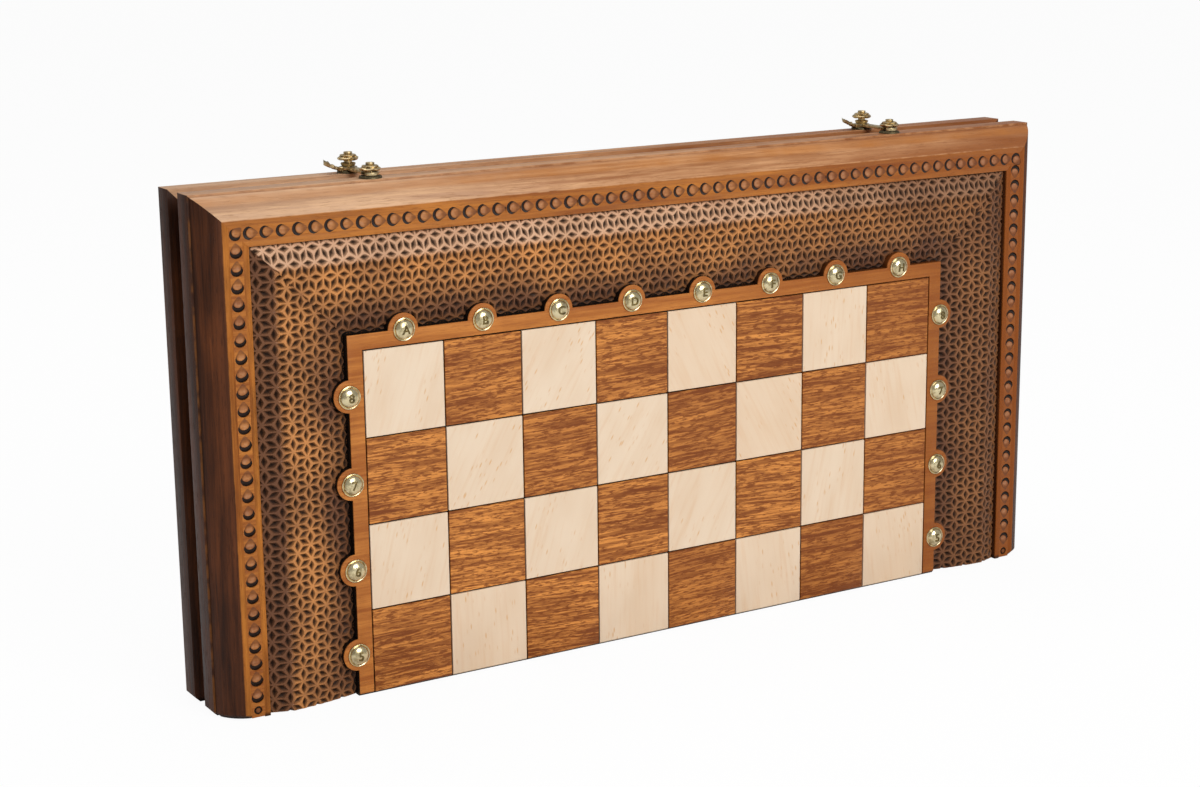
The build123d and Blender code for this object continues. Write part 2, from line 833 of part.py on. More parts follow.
def build_case(write_piece, side, light_parity):
    """Pieces of one half of the case; the back half is their reflection, with the squares' colours swapped."""
    rail = build_side_rail()
    with BuildPart() as right_rail:
        mirror(rail.part, about=Plane.YZ)
    pieces = {
        "top_rail": build_top_rail(),
        "left_rail": rail,
        "right_rail": right_rail,
        "hinge_rail": build_hinge_rail(),
        "base_panel": build_base_panel(),
        "edging_strips": build_edging_strips(),
        "carved_field": build_carved_field(),
        "board_frame": build_board_frame(),
        "light_squares": build_squares(light_parity),
        "dark_squares": build_squares(1 - light_parity),
        "letter_studs": build_studs(letter_stud_places()),
        "number_studs": build_studs(number_stud_places()),
        "light_points": build_points(light_parity),
        "dark_points": build_points(1 - light_parity),
        "hinge_leaves": build_hinge_leaves(),
        "hinge_pins": build_hinge_pins(),
        "hinge_screws": build_hinge_screws(),
    }
    for label, piece in pieces.items():
        write_piece(piece, f"{side}_{label}")


build_case(write, "front", 0)
build_case(write_mirrored, "back", 1)

write(build_hinge_links(), "hinge_links")
write(build_clasp_plates(), "catch_plates")
write(build_roses(catch_neck), "catch_roses")
write_mirrored(build_clasp_plates(), "pivot_plates")
write_mirrored(build_roses(pivot_neck), "pivot_roses")
for label, x in zip(("left_hook", "right_hook"), clasp_places):
    write(build_hook(x), label)

write(build_checkers(0), "light_checkers")
write(build_checkers(1), "dark_checkers")
write(build_dice(), "dice")
for label, spots in lay_chessmen().items():
    kind = label.split("_")[1]
    with BuildPart() as group:
        with Locations(*spots):
            add(chessmen[kind][0].part, rotation=(0, 90, 0))
    write(group, label)
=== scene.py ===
import json
import random
from math import ceil, cos, pi, radians, sin

import bmesh
import bpy
from bpy.props import FloatProperty, FloatVectorProperty, IntProperty, PointerProperty
from mathutils import Matrix, Vector

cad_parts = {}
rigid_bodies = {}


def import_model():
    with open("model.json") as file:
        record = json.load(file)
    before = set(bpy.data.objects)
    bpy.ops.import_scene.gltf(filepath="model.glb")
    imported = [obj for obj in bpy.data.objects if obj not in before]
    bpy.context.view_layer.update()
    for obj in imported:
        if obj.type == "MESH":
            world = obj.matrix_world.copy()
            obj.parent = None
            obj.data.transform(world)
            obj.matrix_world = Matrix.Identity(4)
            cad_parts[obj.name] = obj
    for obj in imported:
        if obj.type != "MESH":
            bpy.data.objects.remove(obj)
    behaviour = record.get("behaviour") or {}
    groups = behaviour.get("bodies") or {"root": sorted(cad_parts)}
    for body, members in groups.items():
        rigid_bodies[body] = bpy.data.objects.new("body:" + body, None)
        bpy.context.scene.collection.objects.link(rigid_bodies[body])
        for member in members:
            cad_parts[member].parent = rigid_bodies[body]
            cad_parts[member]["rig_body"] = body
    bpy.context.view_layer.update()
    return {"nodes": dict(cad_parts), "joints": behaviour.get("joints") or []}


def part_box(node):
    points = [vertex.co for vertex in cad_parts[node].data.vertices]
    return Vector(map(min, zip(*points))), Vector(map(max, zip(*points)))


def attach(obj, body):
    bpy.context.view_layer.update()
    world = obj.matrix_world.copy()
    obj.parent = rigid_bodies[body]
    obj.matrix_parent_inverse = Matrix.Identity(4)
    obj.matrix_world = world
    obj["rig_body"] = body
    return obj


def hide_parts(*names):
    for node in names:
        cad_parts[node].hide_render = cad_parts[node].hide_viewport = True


bl_info = {
    "name": "Folding Games Case",
    "version": (1, 0, 0),
    "blender": (4, 5, 0),
    "location": "View3D > Sidebar > Games Case",
    "description": "Dresses a folding chess and backgammon case with carving, studs, clasps and stains",
    "category": "Object",
}

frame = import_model()

MM = 0.001
FRONT, BACK = "front", "back"
BODY = {FRONT: "front_half", BACK: "back_half"}

# Where the flat band and its edging strip end, in millimetres in from the case's edge
BAND_EDGE = 14.0
STRIP_EDGE = 25.5

# Places read from the frame
field_low, field_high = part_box("front_carved_field")
strip_low, strip_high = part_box("front_edging_strips")
rail_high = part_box("front_top_rail")[1]
board_low, board_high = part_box("front_board_frame")
squares_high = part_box("front_light_squares")[1]
face_y = strip_low.y
board_y = board_low.y
hook_pivots = {joint["child"]: Vector(joint["pos_m"]) for joint in frame["joints"]}
case_height = rail_high.z
half_length = rail_high.x


def length(name, millimetres, description):
    return FloatProperty(name=name, description=description, default=millimetres * MM, unit="LENGTH",
                         precision=5)


def colour(name, red, green, blue, description):
    return FloatVectorProperty(name=name, description=description, default=(red, green, blue), size=3,
                               min=0.0, max=1.0, subtype="COLOR")


class CarvingSizes(bpy.types.PropertyGroup):
    """Sizes of the carved field."""

    star_pitch: length("Star pitch", 8.5, "Distance between star centres along a row")
    row_pitch: length("Row pitch", 8.4, "Distance between rows of stars")
    first_row: length("First row", 3.6, "Distance of the first row of stars from the band")
    cut_width: length("Cut width", 3.6, "Width of a lens-shaped cut at its middle")
    cut_depth: length("Cut depth", 2.0, "Depth of a lens-shaped cut at its middle")
    wander: length("Wander", 0.32, "How far a star strays from its place")
    bevel_width: length("Bevel width", 14.0, "Width of the sloping edge next to the band")
    edge_drop: length("Edge drop", 3.0, "How far the outer edge lies behind the band")
    crown: length("Crown", 2.0, "How far the crest stands in front of the band")
    frame_drop: length("Frame drop", 4.5, "How far the inner edge lies behind the band")
    lobe_radius: length("Lobe radius", 9.5, "Radius of the board's lobes under the studs")
    tuck: length("Tuck", 1.0, "How far the carving runs in behind the board")
    floor: length("Floor", 0.4, "Least thickness left behind a cut")


class EdgingSizes(bpy.types.PropertyGroup):
    """Sizes of the chain of thumbnail cuts."""

    pitch: length("Pitch", 9.7, "Distance between two cuts")
    radius: length("Radius", 3.65, "Radius of a cut's stopped end")
    depth: length("Depth", 1.7, "Depth of a cut at its stopped end")
    ring_radius: length("Ring radius", 2.6, "Radius of the ring at the foot of each side strip")


class StudSizes(bpy.types.PropertyGroup):
    """Sizes of the domed studs."""

    radius: length("Radius", 7.0, "Radius of a stud")
    dome_radius: length("Dome radius", 5.9, "Radius of the dome inside the raised edge")
    height: length("Height", 3.7, "Height of the dome's crest above the board")
    shank_radius: length("Shank radius", 1.5, "Radius of the shank")
    shank_length: length("Shank length", 5.0, "Length of the shank")
    letter_height: length("Letter height", 7.4, "Type size of the raised letters and numbers")
    letter_relief: length("Letter relief", 0.45, "How far a letter stands above the dome")


class ClaspSizes(bpy.types.PropertyGroup):
    """Sizes of the clasps on the top rims."""

    spread: length("Spread", 374.0, "Distance between the two clasps")
    plate_radius: length("Plate radius", 6.7, "Radius of a base plate")
    plate_thickness: length("Plate thickness", 1.6, "Thickness of a base plate")
    rose_radius: length("Rose radius", 5.9, "Radius of a rose")
    near_neck: length("Near neck", 2.4, "Height of the near rose above its plate")
    far_neck: length("Far neck", 5.6, "Height of the far rose above its plate")
    petals: IntProperty(name="Petals", description="Outer petals of a rose", default=5, min=3, max=9)


class WoodColours(bpy.types.PropertyGroup):
    """Stains of the wooden pieces, as pale and deep tones, and the colours of painted shade and highlight."""

    moulding_pale: colour("Moulding, pale", 0.66, 0.36, 0.175, "Pale tone of the top moulding")
    moulding_deep: colour("Moulding, deep", 0.27, 0.095, 0.027, "Deep tone of the top moulding")
    band_pale: colour("Band, pale", 0.47, 0.165, 0.025, "Pale tone of the flat band")
    band_deep: colour("Band, deep", 0.22, 0.056, 0.007, "Deep tone of the flat band")
    # The side tones are dark stain deepened by painted shade, as on sides turned away from the light.
    side_pale: colour("Side, pale", 0.125, 0.036, 0.011, "Pale tone of the side mouldings")
    side_deep: colour("Side, deep", 0.020, 0.0065, 0.003, "Deep tone of the side mouldings")
    board_pale: colour("Board, pale", 0.52, 0.190, 0.036, "Pale tone of the raised board")
    board_deep: colour("Board, deep", 0.29, 0.080, 0.012, "Deep tone of the raised board")
    light_pale: colour("Light square, pale", 0.74, 0.595, 0.445, "Pale tone of the light squares")
    light_square: colour("Light square", 0.665, 0.49, 0.335, "Main tone of the light squares")
    light_fleck: colour("Light fleck", 0.62, 0.34, 0.145, "Ray flecks of the light squares")
    dark_square: colour("Dark square", 0.74, 0.29, 0.062, "Pale tone of the dark squares")
    dark_figure: colour("Dark figure", 0.175, 0.042, 0.006, "Deep tone of the dark squares")
    # Rubbed grey that is also a painted highlight on the top bevel and on the floors of the edging cuts.
    carving_rubbed_and_highlight: colour("Carving, rubbed", 0.60, 0.37, 0.235, "Rubbed ridges next to the top band")
    carving_pale: colour("Carving, pale", 0.62, 0.255, 0.072, "Ridges in the middle of the carved field")
    # The deep carving tone also serves as painted shade next to the board, at the left and towards the right.
    carving_deep: colour("Carving, deep", 0.10, 0.037, 0.017, "Ridges next to the board and at the left")
    # Painted shadow at the bottom of the cuts.
    cut_shadow_colour: colour("Cuts", 0.016, 0.0075, 0.0045, "Bottom of the cuts")
    # Painted shadow along the feet and in the cracks, and black stain with painted shade on the board's
    # walls.
    gap_shadow_colour: colour("Gaps", 0.006, 0.0032, 0.002, "Blackened walls and joints")


class MetalColours(bpy.types.PropertyGroup):
    """Tones of the brass parts."""

    stud_bright: colour("Stud, bright", 0.72, 0.62, 0.38, "Polished tone of the studs")
    stud_dull: colour("Stud, dull", 0.20, 0.145, 0.055, "Tarnish of the studs")
    clasp_bright: colour("Clasp, bright", 0.66, 0.52, 0.29, "Rubbed tone of the clasps")
    clasp_dull: colour("Clasp, dull", 0.105, 0.083, 0.045, "Patina of the clasps")


class StageLevels(bpy.types.PropertyGroup):
    """Levels of the studio light."""

    sky: FloatProperty(name="Sky", description="Strength of the even light", default=0.42, min=0.0)
    key: FloatProperty(name="Key", description="Power of the key light in watts", default=46.0, min=0.0)
    top: FloatProperty(name="Top", description="Power of the overhead light in watts", default=16.0, min=0.0)


class GamesCase(bpy.types.PropertyGroup):
    """All that can be changed about the case's looks."""

    carving: PointerProperty(type=CarvingSizes)
    edging: PointerProperty(type=EdgingSizes)
    studs: PointerProperty(type=StudSizes)
    clasps: PointerProperty(type=ClaspSizes)
    wood: PointerProperty(type=WoodColours)
    metal: PointerProperty(type=MetalColours)
    stage: PointerProperty(type=StageLevels)


def maths(operation, reflected=False):
    """Method that adds a Math node; the reflected form takes the other value first."""
    def method(self, other=0.0):
        first, second = (other, self) if reflected else (self, other)
        return self.finish.node("ShaderNodeMath", {"operation": operation}, {0: first, 1: second})
    return method


class Value:
    """A shader socket that adds Math nodes when it is used in arithmetic."""

    def __init__(self, finish, socket):
        self.finish = finish
        self.socket = socket

    __add__, __radd__ = maths("ADD"), maths("ADD", True)
    __sub__, __rsub__ = maths("SUBTRACT"), maths("SUBTRACT", True)
    __mul__, __rmul__ = maths("MULTIPLY"), maths("MULTIPLY", True)
    __truediv__, __rtruediv__ = maths("DIVIDE"), maths("DIVIDE", True)
    __abs__, floor = maths("ABSOLUTE"), maths("FLOOR")
    smaller, larger = maths("MINIMUM"), maths("MAXIMUM")

    def rise(self, low, high):
        """Smooth step from 0 at low to 1 at high, or falling where low is above high."""
        return self.finish.node("ShaderNodeMapRange", {"interpolation_type": "SMOOTHSTEP"},
                                {"Value": self, "From Min": low, "From Max": high})


class Finish:
    """A procedural material while it is being put together."""

    def __init__(self, name):
        self.material = bpy.data.materials.new(name)
        self.material.use_nodes = True
        self.tree = self.material.node_tree
        self.tree.nodes.clear()

    def node(self, kind, settings=None, inputs=None, output=0):
        node = self.tree.nodes.new(kind)
        for name, value in (settings or {}).items():
            setattr(node, name, value)
        for name, value in (inputs or {}).items():
            if isinstance(value, Value):
                self.tree.links.new(value.socket, node.inputs[name])
            else:
                node.inputs[name].default_value = value
        return Value(self, node.outputs[output])

    def place(self, along="X"):
        """Object coordinates in millimetres, turned so that the grain runs along x."""
        coordinates = self.node("ShaderNodeTexCoord", output="Object")
        turn = (0, radians(90), 0) if along == "Z" else (0, 0, 0)
        return self.node("ShaderNodeMapping", {}, {
            "Vector": coordinates, "Rotation": turn, "Scale": (1 / MM,) * 3})

    def axis(self, vector, name):
        return self.node("ShaderNodeSeparateXYZ", {}, {0: vector}, name)

    def stretched(self, vector, scale):
        scale = scale if isinstance(scale, tuple) else (scale,) * 3
        return self.node("ShaderNodeVectorMath", {"operation": "MULTIPLY"}, {0: vector, 1: scale})

    def noise(self, vector, scale, detail=3.0, roughness=0.5, distortion=0.0):
        return self.node("ShaderNodeTexNoise", {}, {
            "Vector": self.stretched(vector, scale), "Scale": 1.0, "Detail": detail,
            "Roughness": roughness, "Distortion": distortion})

    def spots(self, vector, scale):
        return self.node("ShaderNodeTexVoronoi", {}, {"Vector": self.stretched(vector, scale), "Scale": 1.0})

    def attribute(self, name):
        return self.node("ShaderNodeAttribute", {"attribute_name": name}, {}, "Fac")

    def blend(self, factor, first, second):
        """Colour mix: first where the factor is 0 and second where it is 1."""
        first = first if isinstance(first, Value) else (*first, 1.0)
        second = second if isinstance(second, Value) else (*second, 1.0)
        return self.node("ShaderNodeMix", {"data_type": "RGBA"}, {0: factor, 6: first, 7: second}, 2)

    def layers(self, tone, *stains):
        """A colour with stains laid over it one by one, each as its share and its colour."""
        for share, stain in stains:
            tone = self.blend(share, tone, stain)
        return tone

    def done(self, tone, roughness, height, relief, metallic=0.0, coat=0.0, coat_roughness=0.3, gloss=0.22):
        """Ends the material with its surface shader and returns it."""
        bump = self.node("ShaderNodeBump", {}, {"Height": height, "Strength": 1.0, "Distance": relief})
        return self.shown(self.node("ShaderNodeBsdfPrincipled", {}, {
            "Base Color": tone, "Roughness": roughness, "Metallic": metallic, "Specular IOR Level": gloss,
            "Coat Weight": coat, "Coat Roughness": coat_roughness, "Normal": bump}))

    def shown(self, surface):
        output = self.tree.nodes.new("ShaderNodeOutputMaterial")
        self.tree.links.new(surface.socket, output.inputs["Surface"])
        return self.material


def grain_of(finish, place):
    """Growth figure, fine lines and pores of beech: the first two from 0 to 1, the pores 1 in a pore."""
    figure = finish.noise(place, (0.006, 0.075, 0.075), 3.0, 0.55, 0.6).rise(0.34, 0.66)
    lines = finish.noise(place, (0.012, 0.42, 0.42), 5.0, 0.68, 0.3).rise(0.36, 0.66)
    pores = finish.noise(place, (0.12, 1.6, 1.6), 3.0, 0.6).rise(0.54, 0.70)
    return figure, lines, pores


def stained(finish, grain, pale, deep, figure_share=0.55):
    """Stained beech in two tones, darker in its pores."""
    figure, lines, pores = grain
    depth = figure * figure_share + lines * (1 - figure_share)
    tone = finish.blend(depth, deep, pale)
    return finish.blend(pores * 0.45, tone, deep)


def rail_finish(name, along, pale, deep, wood):
    """Moulding tone outside the band, band tone on it and a pale worn line between; painted sheen at the left
    of the top, painted shade towards the right, a painted shadow in the quirk and a painted shadow along the
    foot.
    """
    finish = Finish(name)
    upright = finish.place()
    grain = grain_of(finish, finish.place(along))
    on_top = along == "X"
    across = finish.axis(upright, "X")
    if on_top:
        inward = case_height / MM - finish.axis(upright, "Z")
    else:
        inward = half_length / MM - abs(across)
    behind = abs(finish.axis(upright, "Y")) * -1 - face_y / MM
    on_band = inward.rise(BAND_EDGE - 0.3, BAND_EDGE + 0.3) * behind.rise(1.2, 0.4)
    off_band = 1 - on_band
    blotches = finish.noise(upright, 0.035).rise(0.35, 0.7)
    tone = finish.layers(
        stained(finish, grain, pale, deep),
        (on_band, stained(finish, grain, wood.band_pale, wood.band_deep, 0.45)),
        (blotches * 0.3, deep))
    if on_top:
        gold = abs(behind - 8.5).rise(4.0, 1.5) * off_band
        low = behind.rise(4.5, 1.5) * off_band * across.rise(40.0, 200.0)
        tone = finish.layers(
            tone,
            # Painted sheen at the left of the top moulding, then painted shade towards its right.
            (across.rise(-20.0, -230.0) * off_band * 0.3, wood.light_square),
            (across.rise(20.0, 290.0) * 0.58, wood.band_deep),
            (gold * (0.25 + blotches * 0.25), wood.band_pale),
            (low * 0.5, wood.band_deep))
    else:
        # Painted shade on the side band, deeper towards the right.
        tone = finish.blend(across.rise(20.0, 290.0) * on_band * 0.95, tone, wood.band_deep)
    # Painted shadow of the step in the quirk.
    quirk = abs(behind - 13.1).rise(0.9, 0.3) * inward.rise(2.6, 1.6)
    worn = finish.noise(upright, 0.12).rise(0.35, 0.6)
    edge = abs(inward - BAND_EDGE).rise(0.6, 0.15) * behind.rise(1.5, 0.9)
    rim_edge = abs(behind - 13.7).rise(0.7, 0.15) * inward.rise(3.0, 1.5)
    rubbed, rubbed_share = (wood.moulding_pale, 0.4) if on_top else (wood.band_pale, 0.18)
    tone = finish.layers(
        tone,
        (quirk * 0.55, deep),
        ((edge + rim_edge).smaller(1.0) * worn * rubbed_share, rubbed),
        # Painted contact shadow along the foot.
        (finish.axis(upright, "Z").rise(3.2, 0.6) * 0.85, wood.gap_shadow_colour))
    lines, pores = grain[1:]
    return finish.done(tone, 0.38 + lines * 0.12 + pores * 0.2, lines * 0.4 - pores, 0.10 * MM,
                       gloss=0.25 if on_top else 0.14)


def board_finish(wood):
    """Raised board, blackened behind its face on the outer walls and under the squares' joints, the walls'
    black partly painted shade; painted shade towards the right and a painted shadow along its foot.
    """
    finish = Finish("board_stain_and_shade")
    place = finish.place()
    grain = grain_of(finish, place)
    blotches = finish.noise(place, 0.05).rise(0.4, 0.7)
    behind = abs(finish.axis(place, "Y")) * -1 - board_y / MM
    tone = finish.layers(
        stained(finish, grain, wood.board_pale, wood.board_deep, 0.4),
        (blotches * 0.3, wood.board_deep),
        # Black stain with painted shade on the outer walls, and dark joints under the squares.
        (behind.rise(0.35, 0.9), wood.gap_shadow_colour),
        # Painted shade towards the right.
        (finish.axis(place, "X").rise(0.0, 260.0) * 0.66, wood.band_deep),
        # Painted contact shadow along the foot.
        (finish.axis(place, "Z").rise(2.0, 0.8) * 0.9, wood.gap_shadow_colour))
    lines, pores = grain[1:]
    return finish.done(tone, 0.42 + lines * 0.1, lines * 0.4 - pores, 0.08 * MM)


def square_cell(finish, place, square):
    """A random number for each square of the board."""
    column = (finish.axis(place, "X") / square).floor()
    row = (finish.axis(place, "Z") / square).floor()
    cell = finish.node("ShaderNodeCombineXYZ", {}, {0: column, 1: row, 2: 0.5})
    return finish.node("ShaderNodeTexWhiteNoise", {"noise_dimensions": "3D"}, {"Vector": cell})


def square_finish(name, pale, deep, wood, light, square):
    """Inlaid veneer square: each square has its own cut of the log and its own tone."""
    finish = Finish(name)
    place = finish.place()
    chance = square_cell(finish, place, square)
    lean = (chance - 0.5) * (1.1 if light else 0.12)
    turned_place = finish.node("ShaderNodeVectorRotate", {"rotation_type": "Y_AXIS"},
                               {"Vector": place, "Angle": lean})
    shift = finish.node("ShaderNodeCombineXYZ", {}, {0: chance * 900.0, 1: chance * 300.0, 2: chance * 700.0})
    cut = finish.node("ShaderNodeVectorMath", {"operation": "ADD"}, {0: turned_place, 1: shift})
    if light:
        cut = finish.node("ShaderNodeMapping", {}, {"Vector": cut, "Rotation": (0, radians(90), 0)})
        figure = finish.noise(cut, (0.02, 0.05, 0.05), 2.0).rise(0.3, 0.75)
        streaks = finish.noise(cut, (0.03, 0.4, 0.4), 4.0).rise(0.45, 0.8)
        fleck = finish.spots(cut, (0.11, 0.36, 0.44)).rise(0.30, 0.08)
        scarce = finish.noise(cut, (0.035, 0.06, 0.06), 2.0).rise(0.44, 0.60)
        tone = finish.layers(
            pale, (figure * 0.55, wood.light_square), (streaks * 0.25, deep),
            (fleck * scarce * 0.75, deep), ((chance - 0.5) * 0.2 + 0.06, deep))
        height, roughness = fleck * -0.5, 0.46 + fleck * 0.08
    else:
        figure = finish.noise(cut, (0.010, 0.07, 0.09), 3.0, 0.6, 0.8).rise(0.3, 0.7)
        lines = finish.noise(cut, (0.022, 0.42, 0.50), 5.0, 0.70, 0.5).rise(0.43, 0.58)
        flecks = finish.noise(cut, (0.16, 0.8, 0.9), 3.0, 0.6).rise(0.49, 0.60)
        # Each square's own tone, with painted shade deeper towards the right.
        right = finish.axis(place, "X").rise(0.0, 260.0)
        age_and_shade = ((chance - 0.5) * 0.5 + 0.08 + right * 0.42).larger(0.0)
        tone = finish.layers(deep, (figure * 0.4 + lines * 0.6, pale), (flecks * 0.85, deep), (age_and_shade, deep))
        height, roughness = lines * 0.5 - flecks, 0.42 + flecks * 0.12
    # Painted contact shadow along the foot of the squares.
    foot = finish.axis(place, "Z").rise(1.6, 0.6)
    tone = finish.blend(foot * 0.85, tone, wood.gap_shadow_colour)
    return finish.done(tone, roughness, height, 0.05 * MM)


def carving_tone(finish, wood, place):
    """Stain of the carved field, by strip and by distance in from the band, with a painted highlight on the
    top bevel and painted shade on the side bevels, at the left, towards the right and next to the board.
    """
    inward, on_side = finish.attribute("inward"), finish.attribute("on_side")
    across = finish.axis(place, "X")
    left, right = across.rise(60.0, -160.0), across.rise(20.0, 260.0)
    patches = finish.noise(place, 0.028).rise(0.32, 0.68)
    fine = finish.noise(place, 0.35).rise(0.3, 0.7)
    bevel = inward.rise(16.5, 12.0)
    mitre = abs(abs(across) - finish.axis(place, "Z")).rise(1.6, 0.3)
    near_board = inward.rise(29.0, 49.0)
    tone = finish.layers(
        wood.carving_pale,
        # Random patches, and painted shade on the left strip.
        (patches * 0.45 + fine * 0.2 + left * on_side * 0.12, wood.carving_deep),
        # Painted highlight with rubbed grey on the top strip's bevel, fainter towards the right.
        (bevel * (1 - on_side) * (0.85 - patches * 0.3 - right * 0.3), wood.carving_rubbed_and_highlight),
        # Painted shade over dark stain on the side strips' bevels, deepest at the left.
        (bevel * on_side * (0.35 + left * 0.5), wood.carving_deep),
        # Painted shade towards the right.
        (right * 0.68, wood.carving_deep),
        (mitre * 0.3, wood.carving_deep),
        # Painted shade next to the board, where the field turns away from the light.
        (near_board * (0.55 + patches * 0.35), wood.carving_deep))
    return tone, inward, fine


def ridge_finish(wood):
    """Ridges between the cuts, partly rubbed and partly painted highlight, with black painted shadow in the
    crack along the band and along the board.
    """
    finish = Finish("carving_ridge_stain_and_shade")
    place = finish.place()
    tone, inward, fine = carving_tone(finish, wood, place)
    # Painted shadow in the cracks along the band and along the board.
    crack = (inward.rise(1.3, 0.3) + inward.rise(53.6, 54.8)).smaller(1.0)
    tone = finish.blend(crack, tone, wood.gap_shadow_colour)
    height = finish.noise(place, 0.9, 4.0)
    return finish.done(tone, 0.40 + fine * 0.2, height, 0.22 * MM, gloss=0.28)


def cut_finish(wood):
    """Walls of the cuts, with painted shade that deepens towards their bottom."""
    finish = Finish("carving_cut_stain_and_shade")
    tone, _, fine = carving_tone(finish, wood, finish.place())
    # The depth attribute sets painted shade at the bottom of the cuts.
    depth = finish.attribute("depth").rise(0.0, 0.75)
    tone = finish.blend(0.32 + depth * 0.62, tone, wood.cut_shadow_colour)
    return finish.done(tone, 0.5 + fine * 0.2, fine, 0.1 * MM)


def edging_tone(finish, place, grain, wood):
    """Stain of the band on the edging strip, with painted shade deeper to the right."""
    tone = stained(finish, grain, wood.band_pale, wood.band_deep, 0.45)
    return finish.blend(finish.axis(place, "X").rise(20.0, 290.0) * 0.8, tone, wood.band_deep)


def edging_finishes(wood):
    """Band stain on the strip, and inside its cuts painted shade along the outline, a painted grey highlight
    next to the crescent and a painted shadow in the crescent.
    """
    finish = Finish("edging_stain_and_shade")
    place = finish.place()
    grain = grain_of(finish, place)
    tone = edging_tone(finish, place, grain, wood)
    flat = finish.done(tone, 0.4 + grain[1] * 0.12, grain[1] * 0.4 - grain[2], 0.1 * MM)
    finish = Finish("edging_cut_stain_and_shade")
    place = finish.place()
    fine = finish.noise(place, 0.5).rise(0.3, 0.7)
    inside = finish.attribute("inside")
    shade = inside.rise(0.05, 0.35) * inside.rise(1.0, 0.5)
    tone = finish.layers(
        edging_tone(finish, place, grain_of(finish, place), wood),
        # Painted shade along the outline, painted highlight next to the crescent and painted shadow in the
        # crescent.
        (shade * (0.5 + fine * 0.25), wood.carving_deep),
        (inside.rise(0.6, 1.0) * (0.30 - fine * 0.2), wood.carving_rubbed_and_highlight),
        (finish.attribute("depth").rise(0.2, 0.7), wood.cut_shadow_colour))
    return flat, finish.done(tone, 0.45 + fine * 0.1, fine, 0.1 * MM)


def metal_finish(name, bright, dull, tarnish, roughness):
    """Brass with patchy tarnish and fine scratches."""
    finish = Finish(name)
    place = finish.place()
    cloud = finish.noise(place, 0.32, 4.0, 0.6).rise(0.4, 0.72)
    scratch = finish.noise(place, (0.6, 5.0, 5.0), 3.0).rise(0.45, 0.75)
    tone = finish.blend(cloud * tarnish, bright, dull)
    rough = roughness + cloud * 0.2 + scratch * 0.06
    return finish.done(tone, rough, cloud * 0.7 + scratch * 0.3, 0.04 * MM, metallic=1.0)


def plain_wood(name, along, pale, deep, roughness=0.42, coat=0.1):
    """Unblended beech for the pieces inside the case."""
    finish = Finish(name)
    grain = grain_of(finish, finish.place(along))
    tone = stained(finish, grain, pale, deep)
    return finish.done(tone, roughness + grain[1] * 0.1, grain[1] * 0.4 - grain[2], 0.07 * MM, coat=coat)


def dice_finish():
    """Ivory-coloured plastic, slightly mottled, with black paint at the bottom of the pips."""
    finish = Finish("dice_ivory")
    place = finish.place()
    mottle = finish.noise(place, 0.2, 3.0).rise(0.3, 0.7)
    tone = finish.blend(mottle, (0.82, 0.77, 0.66), (0.74, 0.67, 0.53))
    low, high = (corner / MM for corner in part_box("dice"))
    half_size = (high.z - low.z) / 2
    step = high.x - low.x - 2 * half_size
    along = finish.axis(place, "X") - low.x
    local = along - (along / step).floor() * step
    reach = abs(local - half_size).larger(abs(finish.axis(place, "Y") - (low.y + high.y) / 2))
    reach = reach.larger(abs(finish.axis(place, "Z") - (low.z + high.z) / 2))
    tone = finish.blend((half_size - reach).rise(0.5, 0.62), tone, (0.01, 0.01, 0.01))
    return finish.done(tone, 0.25 + mottle * 0.08, mottle, 0.02 * MM, coat=0.3, coat_roughness=0.15)


def finished_mesh(bm, name):
    """Turns a bmesh into a mesh."""
    mesh = bpy.data.meshes.new(name)
    bm.to_mesh(mesh)
    bm.free()
    return mesh


def join(bm, mesh, matrix=Matrix()):
    """Moves a spare mesh into a bmesh and returns its faces there."""
    first, first_face = len(bm.verts), len(bm.faces)
    bm.from_mesh(mesh)
    bpy.data.meshes.remove(mesh)
    bm.verts.ensure_lookup_table()
    bm.faces.ensure_lookup_table()
    bmesh.ops.transform(bm, matrix=matrix, verts=bm.verts[first:])
    return bm.faces[first_face:]


def add_piece(name, bm, body, finishes, replaced):
    """Turns a bmesh into a piece that rides on a body and stands for CAD nodes."""
    mesh = finished_mesh(bm, name)
    for finish in finishes:
        mesh.materials.append(finish)
    piece = bpy.data.objects.new(name, mesh)
    bpy.context.scene.collection.objects.link(piece)
    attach(piece, body)
    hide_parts(*replaced)


def paint(finish, *nodes):
    """Gives a finish to CAD nodes that are shown as they are."""
    for name in nodes:
        materials = frame["nodes"][name].data.materials
        materials.clear()
        materials.append(finish)


def reflect(bm):
    """Turns a front piece into one for the back half."""
    bmesh.ops.transform(bm, matrix=Matrix.Scale(-1, 4, (0, 1, 0)), verts=bm.verts)
    bmesh.ops.reverse_faces(bm, faces=bm.faces)


def add_to_halves(name, make, sizes, seeds, finishes, node):
    """Adds a piece to each half, with other random draws in the back one."""
    for half, seed in zip(BODY, seeds):
        bm = make(sizes, seed)
        if half == BACK:
            reflect(bm)
        add_piece(f"{half}_{name}", bm, BODY[half], finishes, [f"{half}_{node}"])


def smooth_but_for(bm, angle):
    """Smooth shading with sharp edges where faces meet at more than the angle."""
    for face in bm.faces:
        face.smooth = True
    for edge in bm.edges:
        edge.smooth = edge.is_manifold and edge.calc_face_angle() < angle


